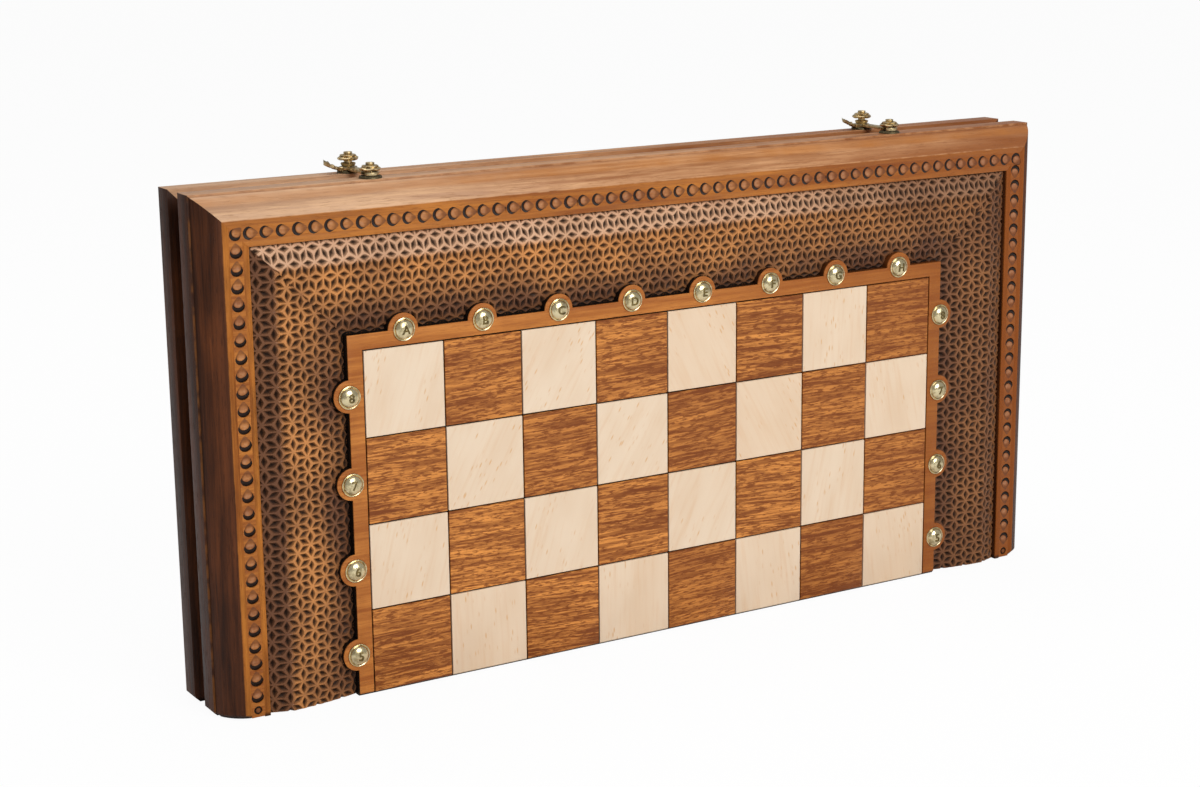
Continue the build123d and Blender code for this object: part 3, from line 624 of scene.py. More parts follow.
def rounded(node, width, segments=2):
    """Copy of a CAD node with its sharp edges eased by hand."""
    bm = bmesh.new()
    bm.from_mesh(frame["nodes"][node].data)
    bmesh.ops.remove_doubles(bm, verts=bm.verts, dist=0.001 * MM)
    bmesh.ops.dissolve_limit(bm, angle_limit=radians(0.5), verts=bm.verts, edges=bm.edges)
    sharp = [e for e in bm.edges if e.is_manifold and e.calc_face_angle() > radians(25)]
    bmesh.ops.bevel(bm, geom=sharp, offset=width, offset_type="OFFSET", segments=segments, profile=0.5,
                    affect="EDGES", clamp_overlap=True, material=-1)
    bmesh.ops.triangulate(bm, faces=[f for f in bm.faces if len(f.verts) > 4])
    smooth_but_for(bm, radians(35))
    return bm


def add_rounded(node, width, finish, segments=2):
    body = frame["nodes"][node]["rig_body"]
    add_piece(f"{node}_eased", rounded(node, width, segments), body, [finish], [node])


def next_loop(bm, loop):
    """Extrudes an edge loop and returns the new edges and vertices."""
    grown = bmesh.ops.extrude_edge_only(bm, edges=loop)["geom"]
    edges = [item for item in grown if isinstance(item, bmesh.types.BMEdge)]
    return edges, [item for item in grown if isinstance(item, bmesh.types.BMVert)]


def close_behind(bm, axis, depth):
    """Turns an open sheet into a solid by walls along an axis down to a flat back."""
    for vert in next_loop(bm, [e for e in bm.edges if e.is_boundary])[1]:
        vert.co[axis] = depth
    bmesh.ops.holes_fill(bm, edges=[e for e in bm.edges if e.is_boundary], sides=0)
    bmesh.ops.recalc_face_normals(bm, faces=bm.faces)


def carved_strip(sizes, run, width, chance):
    """Flat sheet of chip carving: x runs along the strip, y in from the band, z is up out of the wood.

    Stars stand on a triangular lattice, and each line between two stars is a lens-shaped cut: a tip near each
    star, a floor between the tips and a brim on both sides. A heart is the middle of a triangle of cuts.
    """
    taper = 0.66
    cuts_per_line = 5
    columns = ceil(run / sizes.star_pitch) + 3
    rows = ceil(width / sizes.row_pitch) + 2
    bm = bmesh.new()
    for name in ("depth", "inward", "on_side"):
        bm.verts.layers.float.new(name)
    depth = bm.verts.layers.float["depth"]
    bmesh.ops.create_grid(bm, x_segments=columns, y_segments=rows, size=0.5)
    start = Vector((-1.5 * sizes.star_pitch, sizes.first_row - sizes.row_pitch, 0))
    for star in bm.verts:
        column = round((star.co.x + 0.5) * columns)
        row = round((star.co.y + 0.5) * rows)
        shift = 0.5 if row % 2 else 0.0
        star.co = start + Vector(((column + shift) * sizes.star_pitch, row * sizes.row_pitch, 0))
        star.co += Vector((chance.uniform(-1, 1), chance.uniform(-1, 1), 0)) * sizes.wander
    bmesh.ops.triangulate(bm, faces=bm.faces, quad_method="SHORT_EDGE")
    star_spots = {tuple(v.co) for v in bm.verts}
    lines = bm.edges[:]
    heart_spots = {tuple(v.co) for v in bmesh.ops.poke(bm, faces=bm.faces)["verts"]}
    bmesh.ops.subdivide_edges(bm, edges=lines, cuts=cuts_per_line, use_single_edge=True)
    hearts = {v for v in bm.verts if tuple(v.co) in heart_spots}
    on_line = [v for v in bm.verts if tuple(v.co) not in star_spots and v not in hearts]
    line_verts = set(on_line)
    tip_stars, floor_lines = {}, {}
    for vert in on_line:
        nearby = [e.other_vert(vert) for e in vert.link_edges]
        star = next((v for v in nearby if tuple(v.co) in star_spots), None)
        if star:
            tip_stars[tuple(vert.co)] = star.co.copy()
        else:
            ends = [v.co for v in nearby if v in line_verts]
            floor_lines[tuple(vert.co)] = (ends[0] - ends[1]).normalized()
    spokes = [e for v in on_line if tuple(v.co) in floor_lines
              for e in v.link_edges if e.other_vert(v) in hearts]
    bmesh.ops.bisect_edges(bm, edges=spokes, cuts=1)
    known = star_spots | heart_spots | set(floor_lines)
    bmesh.ops.connect_verts(bm, verts=[v for v in bm.verts if tuple(v.co) not in known])
    tips = [v for v in bm.verts if tuple(v.co) in tip_stars]
    floor = {v: floor_lines[tuple(v.co)] for v in bm.verts if tuple(v.co) in floor_lines}
    hearts = {v for v in bm.verts if tuple(v.co) in heart_spots}
    brims = [v for v in bm.verts if tuple(v.co) not in known and tuple(v.co) not in tip_stars]
    near_tip = {v for v in floor if any(tuple(e.other_vert(v).co) in tip_stars for e in v.link_edges)}
    for brim in brims:
        nearby = [e.other_vert(brim) for e in brim.link_edges]
        bottom = next(v for v in nearby if v in floor)
        heart = next(v for v in nearby if v in hearts)
        across = heart.co - bottom.co
        across -= floor[bottom] * across.dot(floor[bottom])
        share = taper if bottom in near_tip else 1.0
        brim.co = bottom.co + across.normalized() * sizes.cut_width / 2 * share * chance.uniform(0.85, 1.15)
    for tip in tips:
        star = tip_stars[tuple(tip.co)]
        tip.co = star + (tip.co - star) * chance.uniform(0.55, 0.85)
    for bottom in floor:
        share = taper if bottom in near_tip else 1.0
        # The depth attribute sets the painted shade of the cut's floor.
        bottom[depth] = share
        bottom.co.z = -sizes.cut_depth * share * chance.uniform(0.8, 1.1)
    for face in bm.faces:
        face.material_index = 1 if any(v in floor for v in face.verts) else 0
    return bm


def trim(bm, point, outward):
    """Cuts away what lies beyond a plane."""
    bmesh.ops.bisect_plane(bm, geom=[*bm.verts, *bm.edges, *bm.faces], dist=0.0001 * MM,
                           plane_co=point, plane_no=outward, clear_outer=True)


def pillow_depth(sizes, inward, width):
    """How far the field's surface lies behind the band's face."""
    if inward < sizes.bevel_width:
        return sizes.edge_drop - (sizes.edge_drop + sizes.crown) * inward / sizes.bevel_width
    share = (inward - sizes.bevel_width) / (width - sizes.bevel_width)
    return -sizes.crown + (sizes.crown + sizes.frame_drop) * (0.2 * share + 0.8 * share * share)


def carved_field(sizes, seed):
    """The three strips of the carved field, mitred at the top corners."""
    chance = random.Random(seed)
    width = field_high.x - (board_high.x - sizes.lobe_radius)
    reach = width + sizes.tuck
    back = field_high.y - face_y
    field = bmesh.new()
    for strip in ("top", "left", "right"):
        run = 2 * field_high.x if strip == "top" else field_high.z
        bm = carved_strip(sizes, run, reach, chance)
        trim(bm, (0, 0, 0), (0, -1, 0))
        trim(bm, (0, reach, 0), (0, 1, 0))
        trim(bm, (run, 0, 0), (1, 1, 0))
        if strip == "top":
            trim(bm, (0, 0, 0), (-1, 1, 0))
        else:
            trim(bm, (field_low.z, 0, 0), (-1, 0, 0))
        inward, on_side = bm.verts.layers.float["inward"], bm.verts.layers.float["on_side"]
        for vert in bm.verts:
            vert[inward] = vert.co.y / MM
            vert[on_side] = 0.0 if strip == "top" else 1.0
            vert.co.z = max(vert.co.z - pillow_depth(sizes, vert.co.y, width), sizes.floor - back)
        close_behind(bm, 2, -back)
        for vert in bm.verts:
            run_place, across, height = vert.co
            if strip == "top":
                vert.co = (run_place - field_high.x, face_y - height, field_high.z - across)
            else:
                side = -1 if strip == "left" else 1
                vert.co = (side * (field_high.x - across), face_y - height, run_place)
        bmesh.ops.recalc_face_normals(bm, faces=bm.faces)
        join(field, finished_mesh(bm, "strip"))
    return field


def start_cut(radius, segments):
    """Outline of a cut in the edging, with the attributes that its stain and its painted shade read."""
    bm = bmesh.new()
    for name in ("depth", "inside"):
        bm.verts.layers.float.new(name)
    bmesh.ops.create_circle(bm, segments=segments, radius=radius)
    layers = bm.verts.layers.float
    return bm, layers["depth"], layers["inside"], bm.edges[:]


def finish_cell(bm, outline, loop, run, width, turn=0.0):
    """Closes a cut's floor, turns the cut and lays the flat face of its cell round it."""
    bmesh.ops.contextual_create(bm, geom=loop)
    bmesh.ops.triangulate(bm, faces=[f for f in bm.faces if len(f.verts) > 4])
    for face in bm.faces:
        face.material_index = 1
    bmesh.ops.rotate(bm, verts=bm.verts, cent=(0, 0, 0), matrix=Matrix.Rotation(turn, 3, "Z"))
    corners = bmesh.ops.create_grid(bm, x_segments=1, y_segments=1, size=0.5)["verts"]
    bmesh.ops.scale(bm, vec=(run, width, 1), verts=corners)
    plate = corners[0].link_faces[0]
    edges = [*plate.edges, *outline]
    bmesh.ops.delete(bm, geom=[plate], context="FACES_ONLY")
    filled = bmesh.ops.triangle_fill(bm, edges=edges, use_beauty=True, normal=(0, 0, 1))["geom"]
    for item in filled:
        if isinstance(item, bmesh.types.BMFace):
            item.material_index = 0
    return finished_mesh(bm, "cell")


def thumbnail_cell(sizes, run, width, turn, chance):
    """One cell of the edging: a stopped thumbnail cut whose floor rises to the surface ahead of it.

    The depth attribute, which sets the painted shadow, is 1 in the crescent under the curved wall and 0 on
    the pale floor. The inside attribute, which sets painted shade along the outline and a painted highlight
    next to the crescent, grows from 0 at the outline and at the tip to 1 on the floor next to the crescent.
    """
    radius = sizes.radius * chance.uniform(0.95, 1.05)
    bm, depth, inside, outline = start_cut(radius, 24)
    tongue, taper, widened = 1.5, 0.45, 1.03
    lead, tip_margin = 0.35 * MM, 0.9 * MM
    for vert in bm.verts:
        if vert.co.x > 0:
            vert.co.x *= tongue
            vert.co.y *= 1 - taper * vert.co.x / (radius * tongue)
        vert.co.x -= run / 2 - radius - lead
        vert.co.y *= widened
    start = min(v.co.x for v in bm.verts)
    end = max(v.co.x for v in bm.verts)
    pivot = end - tip_margin
    loop = outline
    # The fourth number of each loop is its share of the painted shadow.
    loops = ((0.98, 0.98, 1.0, 1.0, 0.15), (0.82, 0.75, 0.85, 0.95, 0.5), (0.90, 0.95, 0.9, 0.0, 0.7),
             (0.55, 0.93, 0.95, 0.0, 1.0))
    for narrowed, shortened, sunk, dark, within in loops:
        loop, verts = next_loop(bm, loop)
        for vert in verts:
            share = max(0.0, 1 - (vert.co.x - start) / (end - start))
            vert.co.z = -sizes.depth * sunk * share ** 2.3
            vert[depth] = dark * min(1.0, max(0.0, (share - 0.26) * 3.6))
            vert[inside] = within * min(1.0, 0.3 + share * 1.2)
            vert.co.y *= narrowed
            vert.co.x = pivot - (pivot - vert.co.x) * shortened
    return finish_cell(bm, outline, loop, run, width, turn)


def ring_cell(sizes, width):
    """The square cell at the foot of a side strip, with a sunk ring."""
    bm, depth, inside, outline = start_cut(sizes.ring_radius, 18)
    loop = outline
    # The third number of each loop is its share of the painted shadow in the ring.
    for shrink, height, dark in ((0.86, -1.0, 0.9), (0.62, -1.0, 0.9), (0.50, -0.1, 0.3)):
        loop, verts = next_loop(bm, loop)
        for vert in verts:
            spot = Vector((vert.co.x, vert.co.y, 0)).normalized() * sizes.ring_radius * shrink
            vert.co = (spot.x, spot.y, height * MM)
            vert[depth] = dark
            vert[inside] = 0.3
    return finish_cell(bm, outline, loop, width, width)


def laid(spot, along, normal):
    """Matrix that brings a piece to a spot, its x axis turned along and its z axis turned to the normal."""
    along, normal = Vector(along), Vector(normal)
    turn = Matrix((along, normal.cross(along), normal)).transposed().to_4x4()
    return Matrix.Translation(spot) @ turn


def edging_chain(sizes, seed):
    """Chain of cuts up the left side, along the top and down the right side, as one strip."""
    chance = random.Random(seed)
    width = strip_high.z - (case_height - STRIP_EDGE * MM)
    outer = strip_high.x
    middle = outer - width / 2
    top_z = strip_high.z - width / 2
    upright_run = strip_high.z - strip_low.z - 2 * width
    runs = [
        ((-middle, strip_low.z + width, 0, 1), upright_run),
        ((-outer + width, top_z, 1, 0), 2 * (outer - width)),
        ((middle, strip_high.z - width, 0, -1), upright_run),
    ]
    strip = bmesh.new()

    def add_cell(mesh, x, z, along):
        join(strip, mesh, laid((x, face_y, z), along, (0, -1, 0)))

    for (x, z, dx, dz), run in runs:
        count = round(run / sizes.pitch)
        pitch = run / count
        for index in range(count):
            travelled = (index + 0.5) * pitch
            cell = thumbnail_cell(sizes, pitch, width, chance.uniform(-0.1, 0.1), chance)
            add_cell(cell, x + dx * travelled, z + dz * travelled, (dx, 0, dz))
    for side in (-1, 1):
        corner = thumbnail_cell(sizes, width, width, radians(-45 * side), chance)
        add_cell(corner, side * middle, top_z, (1, 0, 0))
        add_cell(ring_cell(sizes, width), side * middle, strip_low.z + width / 2, (1, 0, 0))
    bmesh.ops.remove_doubles(strip, verts=strip.verts, dist=0.01 * MM)
    close_behind(strip, 1, strip_high.y)
    return strip


def turned(bm, profile, steps):
    """Full turning of a half profile, given as (radius, height) pairs in millimetres."""
    verts = [bm.verts.new((radius * MM, 0, height * MM)) for radius, height in profile]
    edges = [bm.edges.new(pair) for pair in zip(verts, verts[1:])]
    bmesh.ops.spin(bm, geom=[*verts, *edges], cent=(0, 0, 0), axis=(0, 0, 1), angle=2 * pi, steps=steps,
                   use_merge=True)
    bmesh.ops.remove_doubles(bm, verts=bm.verts, dist=0.001 * MM)
    bmesh.ops.recalc_face_normals(bm, faces=bm.faces)


def dome_height(sizes, radius):
    """Height of a stud's dome above the board at a radius."""
    share = min(radius / sizes.dome_radius, 1.0)
    low = 1.0 * MM
    return low + (sizes.height - low) * (1 - share ** 2.2) ** 0.62


def stud_mesh(sizes):
    """One stud: shank, flange with a raised edge, and dome."""
    bm = bmesh.new()
    outer = sizes.radius / MM
    shank = sizes.shank_radius / MM
    rings = 8
    profile = [(0, -sizes.shank_length / MM), (shank, -sizes.shank_length / MM), (shank, 0), (outer, 0),
               (outer, 0.45), (outer - 0.25, 0.85), (outer - 0.6, 0.95), (outer - 0.95, 0.75)]
    for ring in range(rings + 1):
        radius = sizes.dome_radius * cos(ring / rings * pi / 2)
        profile.append((radius / MM, dome_height(sizes, radius) / MM))
    turned(bm, profile, 28)
    smooth_but_for(bm, radians(40))
    return finished_mesh(bm, "stud")


def letter_mesh(sizes, letter):
    """A raised letter that follows the dome."""
    curve = bpy.data.curves.new("mark", "FONT")
    curve.body = letter
    curve.size = sizes.letter_height
    curve.align_x = "CENTER"
    curve.align_y = "CENTER"
    curve.extrude = sizes.letter_relief
    curve.resolution_u = 3
    curve.offset = 0.12 * MM
    text = bpy.data.objects.new("mark", curve)
    bpy.context.scene.collection.objects.link(text)
    mesh = bpy.data.meshes.new_from_object(text)
    bpy.data.objects.remove(text)
    bpy.data.curves.remove(curve)
    low, high = (f(v.co.y for v in mesh.vertices) for f in (min, max))
    left, right = (f(v.co.x for v in mesh.vertices) for f in (min, max))
    for vert in mesh.vertices:
        vert.co.x -= (left + right) / 2
        vert.co.y -= (low + high) / 2
        radius = Vector((vert.co.x, vert.co.y)).length
        vert.co.z += dome_height(sizes, radius)
    return mesh


def stud_row(sizes, half, places, marks):
    """Studs of one kind on one half, with their marks the right way up for a player on that side."""
    facing = -1 if half == FRONT else 1
    row = bmesh.new()
    for (x, z), mark in zip(places, marks):
        matrix = laid((x, facing * abs(board_y), z), (-facing, 0, 0), (0, facing, 0))
        for index, mesh in enumerate((stud_mesh(sizes), letter_mesh(sizes, mark))):
            for face in join(row, mesh, matrix):
                face.material_index = index
    return row


def petal(bm, reach, width, thickness, tilt, turn, lift):
    """A cupped petal that leans out from the flower's axis."""
    made = bmesh.ops.create_uvsphere(bm, u_segments=10, v_segments=7, radius=1.0)["verts"]
    bmesh.ops.scale(bm, vec=(reach, width, thickness), verts=made)
    for vert in made:
        vert.co.z += (vert.co.y / width) ** 2 * thickness * 0.9 + (vert.co.x / reach) ** 2 * thickness * 0.5
    bmesh.ops.translate(bm, vec=(reach, 0, 0), verts=made)
    placing = Matrix.Rotation(turn, 4, "Z") @ Matrix.Rotation(-tilt, 4, "Y")
    bmesh.ops.transform(bm, matrix=Matrix.Translation((0, 0, lift)) @ placing, verts=made)


def add_rose(bm, sizes, x, y, neck):
    """Rose on its neck: rings of petals round a bud."""
    flower = bmesh.new()
    head, cup = neck / MM, 2.3
    bowl = [(3.8, cup), (4.5, head - 1.9), (4.1, head - 1.4), (2.4, head - 1.1)] if head > cup + 2 else []
    turned(flower, [(0, -10.6), (1.4, -8.6), (1.4, 0), (2.2, 0), (2.2, cup), *bowl, (2.4, head),
                    (4.6, head + 0.5), (4.2, head + 1.2), (2.0, head + 1.8), (0, head + 1.8)], 20)
    radius = sizes.rose_radius
    rings = ((0.54, 0.70, 1.2, -12, 0.2, 1.7), (0.42, 0.58, 1.0, -2, 0.8, 2.4),
             (0.26, 0.40, 0.8, 30, 0.4, 2.9))
    for reach, half_width, thickness, tilt, phase, rise in rings:
        for index in range(sizes.petals):
            petal(flower, radius * reach, radius * half_width, thickness * MM, radians(tilt),
                  2 * pi * index / sizes.petals + phase, neck + rise * MM)
    bud = bmesh.ops.create_uvsphere(flower, u_segments=10, v_segments=8, radius=1.1 * MM)["verts"]
    bmesh.ops.translate(flower, vec=(0, 0, neck + 3.4 * MM), verts=bud)
    smooth_but_for(flower, radians(50))
    join(bm, finished_mesh(flower, "rose"), Matrix.Translation((x, y, case_height + sizes.plate_thickness)))


def add_plate(bm, sizes, x, y):
    """Round base plate with a beaded edge."""
    plate = bmesh.new()
    edge = sizes.plate_radius / MM
    thick = sizes.plate_thickness / MM
    turned(plate, [(0, 0), (edge, 0), (edge, 0.35 * thick), (edge - 0.5, 0.7 * thick),
                   (edge - 1.0, 0.6 * thick), (edge - 1.5, thick), (2.3, thick), (0, thick)], 30)
    beads, bead_radius, bead_height = 15, 0.8, 0.7
    circle = edge - bead_radius
    for index in range(beads):
        angle = 2 * pi * index / beads
        bead = bmesh.ops.create_uvsphere(plate, u_segments=8, v_segments=5, radius=bead_radius * MM)["verts"]
        spot = Vector((cos(angle) * circle, sin(angle) * circle, bead_height)) * MM
        bmesh.ops.translate(plate, verts=bead, vec=spot)
    smooth_but_for(plate, radians(50))
    join(bm, finished_mesh(plate, "plate"), Matrix.Translation((x, y, case_height)))


def leaf_tab(bm, root, tip_width):
    """Leaf-shaped thumb piece that rises from the hook's eye, with a rib and veins."""
    leaf = bmesh.ops.create_grid(bm, x_segments=10, y_segments=8, size=0.5)["verts"]
    faces = list(dict.fromkeys(f for v in leaf for f in v.link_faces))
    run = 11.5 * MM
    for vert in leaf:
        share = vert.co.x + 0.5
        side = vert.co.y * 2
        spread = (0.45 + 0.55 * share) * (1.02 - share ** 8) * (1 + 0.08 * cos(share * 30))
        rise = 4.4 * MM * share ** 1.25
        vein = 0.7 * MM * cos(share * 24 + abs(side) * 4) * abs(side)
        rib = 0.6 * MM * max(0.0, 1 - abs(side) * 4)
        curl = (1.6 * side * side + 1.2 * side) * MM * share
        vert.co = (root.x - share * run, root.y + side * spread * tip_width / 2,
                   root.z + rise + (rib + vein + curl) * spread)
    bmesh.ops.solidify(bm, geom=faces, thickness=1.7 * MM)


def build_hook_mesh(node):
    """Swing hook with eased edges and a leaf-shaped thumb piece."""
    low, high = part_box(node)
    bm = rounded(node, 0.35 * MM)
    pivot = hook_pivots[node]
    spare = [v for v in bm.verts if v.co.x < pivot.x - 7.2 * MM]
    bmesh.ops.delete(bm, geom=spare, context="VERTS")
    holes = [e for e in bm.edges if e.is_boundary]
    bmesh.ops.holes_fill(bm, edges=holes, sides=0)
    leaf_tab(bm, Vector((pivot.x - 4.0 * MM, pivot.y, low.z + 0.8 * MM)), 9.6 * MM)
    bmesh.ops.recalc_face_normals(bm, faces=bm.faces)
    smooth_but_for(bm, radians(40))
    return bm


class GAMES_CASE_OT_stage(bpy.types.Operator):
    """Makes the pale floor, the studio light and the camera."""

    bl_idname = "games_case.stage"
    bl_label = "Stage"

    def execute(self, context):
        levels = context.scene.games_case.stage
        bm = bmesh.new()
        bmesh.ops.create_circle(bm, cap_ends=True, segments=64, radius=40.0)
        mesh = finished_mesh(bm, "floor")
        floor = bpy.data.objects.new("floor", mesh)
        floor.location.z = -0.3 * MM
        context.scene.collection.objects.link(floor)
        mesh.materials.append(floor_finish())
        self.light(context, "key_light", (0.2, -2.3, 1.5), 1.4, levels.key)
        self.light(context, "top_light", (-0.2, 0.5, 2.2), 1.6, levels.top)
        self.sky(context, levels.sky)
        self.camera(context)
        context.scene.view_settings.view_transform = "Standard"
        return {"FINISHED"}

    def light(self, context, name, place, size, power):
        lamp = bpy.data.lights.new(name, "AREA")
        lamp.size = size
        lamp.energy = power
        light = bpy.data.objects.new(name, lamp)
        light.location = place
        light.rotation_euler = (Vector((0, 0, 0.15)) - Vector(place)).to_track_quat("-Z", "Y").to_euler()
        context.scene.collection.objects.link(light)

    def sky(self, context, strength):
        world = bpy.data.worlds.new("studio")
        context.scene.world = world
        world.use_nodes = True
        nodes, links = world.node_tree.nodes, world.node_tree.links
        nodes.clear()
        path = nodes.new("ShaderNodeLightPath")
        level = nodes.new("ShaderNodeMix")
        level.inputs[2].default_value = strength
        level.inputs[3].default_value = 1.0
        links.new(path.outputs["Is Camera Ray"], level.inputs[0])
        background = nodes.new("ShaderNodeBackground")
        background.inputs["Color"].default_value = (1, 1, 1, 1)
        links.new(level.outputs[0], background.inputs["Strength"])
        output = nodes.new("ShaderNodeOutputWorld")
        links.new(background.outputs[0], output.inputs["Surface"])

    def camera(self, context):
        """Camera fitted to the corners of the chess grid."""
        place = Vector((-0.7273, -1.1557, 0.4664))
        look = Vector((0.50451, 0.83282, -0.22777))
        up = Vector((0.12764, 0.18897, 0.97365))
        right = look.cross(up).normalized()
        data = bpy.data.cameras.new("camera")
        data.lens = 66.56
        data.sensor_width = 36.0
        camera = bpy.data.objects.new("camera", data)
        turn = Matrix((right, right.cross(look), -look.normalized())).transposed().to_4x4()
        camera.matrix_world = Matrix.Translation(place) @ turn
        context.scene.collection.objects.link(camera)
        context.scene.camera = camera


def floor_finish():
    """White floor that stays white for the camera and keeps a soft shadow."""
    finish = Finish("white_floor")
    diffuse = finish.node("ShaderNodeBsdfDiffuse", {}, {"Color": (0.88, 0.88, 0.88, 1.0)})
    glow = finish.node("ShaderNodeEmission", {}, {"Color": (1, 1, 1, 1), "Strength": 1.0})
    seen = finish.node("ShaderNodeLightPath", output="Is Camera Ray")
    surface = finish.node("ShaderNodeMixShader", {}, {0: seen * 0.95, 1: diffuse, 2: glow})
    return finish.shown(surface)


class GAMES_CASE_OT_rails(bpy.types.Operator):
    """Gives the moulded rails eased edges and their stain, with painted shade and sheen."""

    bl_idname = "games_case.rails"
    bl_label = "Moulded rails"

    def execute(self, context):
        wood = context.scene.games_case.wood
        top = rail_finish("top_moulding_stain_and_shade", "X", wood.moulding_pale, wood.moulding_deep, wood)
        side = rail_finish("side_moulding_stain_and_shade", "Z", wood.side_pale, wood.side_deep, wood)
        for half in BODY:
            add_rounded(f"{half}_top_rail", 0.5 * MM, top)
            add_rounded(f"{half}_left_rail", 0.5 * MM, side)
            add_rounded(f"{half}_right_rail", 0.5 * MM, side)
        return {"FINISHED"}


class GAMES_CASE_OT_edging(bpy.types.Operator):
    """Cuts the chain of thumbnail cuts into the edging strips."""

    bl_idname = "games_case.edging"
    bl_label = "Edging strips"

    def execute(self, context):
        case = context.scene.games_case
        add_to_halves("edging_chain", edging_chain, case.edging, (5, 6), edging_finishes(case.wood),
                      "edging_strips")
        return {"FINISHED"}


class GAMES_CASE_OT_carving(bpy.types.Operator):
    """Carves the pillow border with a lattice of lens-shaped cuts."""

    bl_idname = "games_case.carving"
    bl_label = "Carved field"

    def execute(self, context):
        case = context.scene.games_case
        finishes = [ridge_finish(case.wood), cut_finish(case.wood)]
        add_to_halves("carving", carved_field, case.carving, (11, 12), finishes,
                      "carved_field")
        return {"FINISHED"}


class GAMES_CASE_OT_board(bpy.types.Operator):
    """Eases the raised board and the inlaid squares and gives them their stains, with painted shade."""

    bl_idname = "games_case.board"
    bl_label = "Board and squares"

    def execute(self, context):
        wood = context.scene.games_case.wood
        square = squares_high.z / MM / 4
        plate = board_finish(wood)
        light = square_finish("light_square_veneer", wood.light_pale, wood.light_fleck, wood, True, square)
        dark = square_finish("dark_square_veneer", wood.dark_square, wood.dark_figure, wood, False, square)
        for half in BODY:
            add_rounded(f"{half}_board_frame", 0.35 * MM, plate)
            add_rounded(f"{half}_light_squares", 0.18 * MM, light, 1)
            add_rounded(f"{half}_dark_squares", 0.18 * MM, dark, 1)
        return {"FINISHED"}


class GAMES_CASE_OT_studs(bpy.types.Operator):
    """Makes the domed studs with raised letters and numbers."""

    bl_idname = "games_case.studs"
    bl_label = "Studs"

    def execute(self, context):
        case = context.scene.games_case
        metal = case.metal
        finishes = [metal_finish("stud_brass_polish", metal.stud_bright, metal.stud_dull, 0.7, 0.15),
                    metal_finish("stud_letter_patina", metal.stud_dull, metal.clasp_dull, 0.9, 0.4)]
        square = squares_high.z / 4
        lobe = case.carving.lobe_radius
        files = [((column + 0.5) * square - 4 * square, board_high.z - lobe) for column in range(8)]
        ranks = [(side * (board_high.x - lobe), (row + 0.5) * square) for side in (-1, 1) for row in range(4)]
        numbers = {FRONT: "5678", BACK: "4321"}
        for half in BODY:
            for kind, places, marks in (("letter", files, "ABCDEFGH"), ("number", ranks, numbers[half] * 2)):
                row = stud_row(case.studs, half, places, marks)
                add_piece(f"{half}_{kind}_domes", row, BODY[half], finishes, [f"{half}_{kind}_studs"])
        return {"FINISHED"}


class GAMES_CASE_OT_clasps(bpy.types.Operator):
    """Makes the roses, their base plates and the swing hooks."""

    bl_idname = "games_case.clasps"
    bl_label = "Clasps"

    def execute(self, context):
        case = context.scene.games_case
        sizes = case.clasps
        brass = metal_finish("clasp_brass_rubbed", case.metal.clasp_bright, case.metal.clasp_dull, 0.8, 0.3)
        patina = metal_finish("clasp_brass_patina", case.metal.clasp_dull, case.metal.clasp_dull, 0.5, 0.4)
        rim_y = hook_pivots["left_hook"].y
        for side, body, plates, roses, neck in (
            (-1, "front_half", "catch_plates", "catch_roses", sizes.near_neck),
            (1, "back_half", "pivot_plates", "pivot_roses", sizes.far_neck),
        ):
            plate_pair, rose_pair = bmesh.new(), bmesh.new()
            for x in (-sizes.spread / 2, sizes.spread / 2):
                add_plate(plate_pair, sizes, x, side * rim_y)
                add_rose(rose_pair, sizes, x, side * rim_y, neck)
            add_piece(f"{plates}_beaded", plate_pair, body, [patina], [plates])
            add_piece(f"{roses}_petalled", rose_pair, body, [brass], [roses])
        for hook in ("left_hook", "right_hook"):
            add_piece(f"{hook}_leafed", build_hook_mesh(hook), hook, [brass], [hook])
        return {"FINISHED"}


class GAMES_CASE_OT_hinges(bpy.types.Operator):
    """Gives the hinge parts worn brass."""

    bl_idname = "games_case.hinges"
    bl_label = "Hinges"

    def execute(self, context):
        metal = context.scene.games_case.metal
        brass = metal_finish("hinge_brass_worn", metal.clasp_bright, metal.clasp_dull, 0.45, 0.32)
        paint(brass, "hinge_links")
        for half in BODY:
            paint(brass, *(f"{half}_hinge_{part}" for part in ("leaves", "pins", "screws")))
        return {"FINISHED"}


class GAMES_CASE_OT_tray(bpy.types.Operator):
    """Finishes the inside of the case with its backgammon points."""

    bl_idname = "games_case.tray"
    bl_label = "Tray and points"

    def execute(self, context):
        wood = context.scene.games_case.wood
        panel = plain_wood("tray_beech_oiled", "X", wood.band_pale, wood.board_deep)
        pale = plain_wood("light_point_veneer", "X", (0.86, 0.72, 0.55), wood.light_fleck)
        dark = plain_wood("dark_point_veneer", "X", wood.side_pale, wood.side_deep)
        for half in BODY:
            paint(panel, f"{half}_base_panel", f"{half}_hinge_rail")
            paint(pale, f"{half}_light_points")
            paint(dark, f"{half}_dark_points")
        return {"FINISHED"}


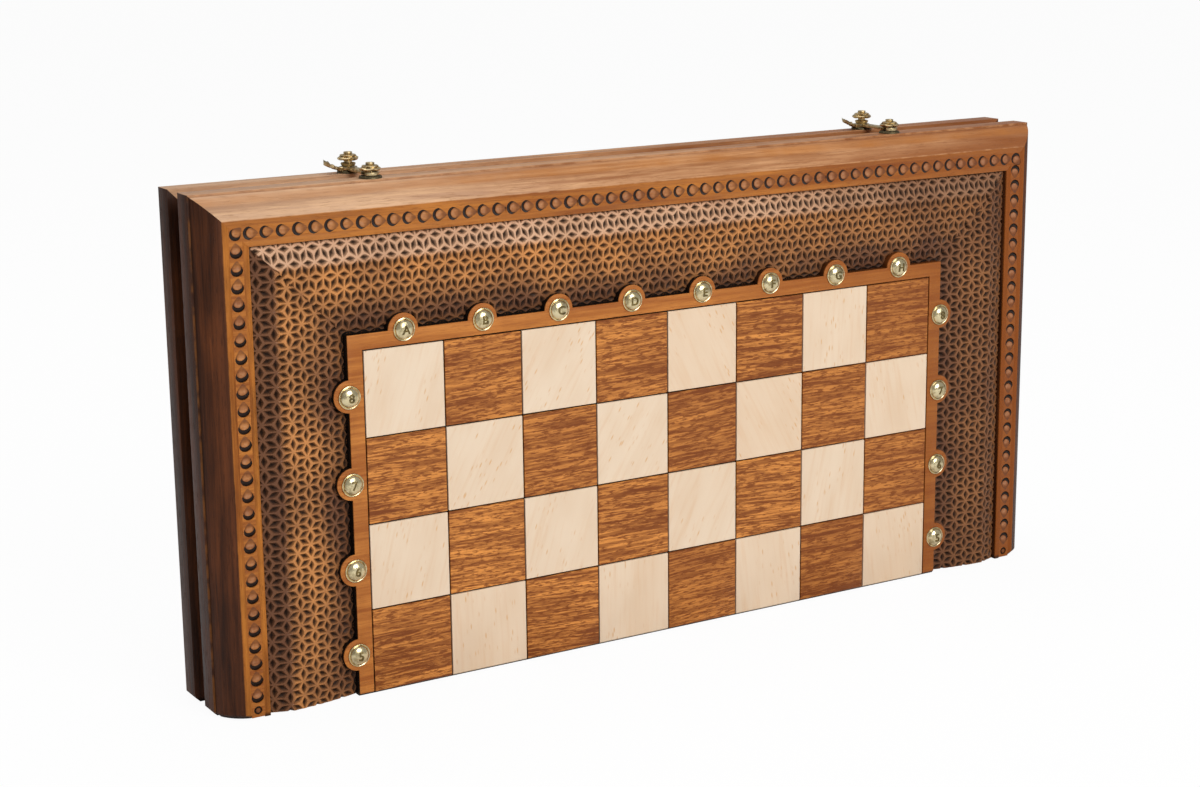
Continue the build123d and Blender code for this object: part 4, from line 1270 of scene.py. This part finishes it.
class GAMES_CASE_OT_playing_pieces(bpy.types.Operator):
    """Finishes the checkers, the chessmen and the dice that lie in the tray."""

    bl_idname = "games_case.playing_pieces"
    bl_label = "Playing pieces"

    def execute(self, context):
        wood = context.scene.games_case.wood
        pale = plain_wood("light_men_lacquer", "Z", (0.80, 0.64, 0.44), wood.light_fleck, 0.3, 0.4)
        dark = plain_wood("dark_men_lacquer", "Z", wood.band_deep, wood.side_deep, 0.28, 0.4)
        kinds = ("checkers", "pawns", "rooks", "knights", "bishops", "queen", "king")
        paint(pale, *(f"light_{kind}" for kind in kinds))
        paint(dark, *(f"dark_{kind}" for kind in kinds))
        paint(dice_finish(), "dice")
        return {"FINISHED"}


class GAMES_CASE_PT_panel(bpy.types.Panel):
    """Lists the operators and the sizes and colours that they use."""

    bl_idname = "GAMES_CASE_PT_panel"
    bl_label = "Games Case"
    bl_space_type = "VIEW_3D"
    bl_region_type = "UI"
    bl_category = "Games Case"

    def draw(self, context):
        case = context.scene.games_case
        for operator in OPERATORS:
            self.layout.operator(operator.bl_idname)
        for name in ("carving", "edging", "studs", "clasps", "wood", "metal", "stage"):
            box = self.layout.box()
            box.label(text=name.capitalize())
            group = getattr(case, name)
            for setting in group.__annotations__:
                box.prop(group, setting)


GROUPS = (CarvingSizes, EdgingSizes, StudSizes, ClaspSizes, WoodColours, MetalColours, StageLevels, GamesCase)
OPERATORS = (
    GAMES_CASE_OT_stage,
    GAMES_CASE_OT_rails,
    GAMES_CASE_OT_edging,
    GAMES_CASE_OT_carving,
    GAMES_CASE_OT_board,
    GAMES_CASE_OT_studs,
    GAMES_CASE_OT_clasps,
    GAMES_CASE_OT_hinges,
    GAMES_CASE_OT_tray,
    GAMES_CASE_OT_playing_pieces,
)


def register():
    for item in (*GROUPS, *OPERATORS, GAMES_CASE_PT_panel):
        bpy.utils.register_class(item)
    bpy.types.Scene.games_case = PointerProperty(type=GamesCase)


def unregister():
    del bpy.types.Scene.games_case
    for item in reversed((*GROUPS, *OPERATORS, GAMES_CASE_PT_panel)):
        bpy.utils.unregister_class(item)


def main():
    register()
    for operator in OPERATORS:
        family, name = operator.bl_idname.split(".")
        getattr(getattr(bpy.ops, family), name)()


if __name__ == "__main__":
    main()
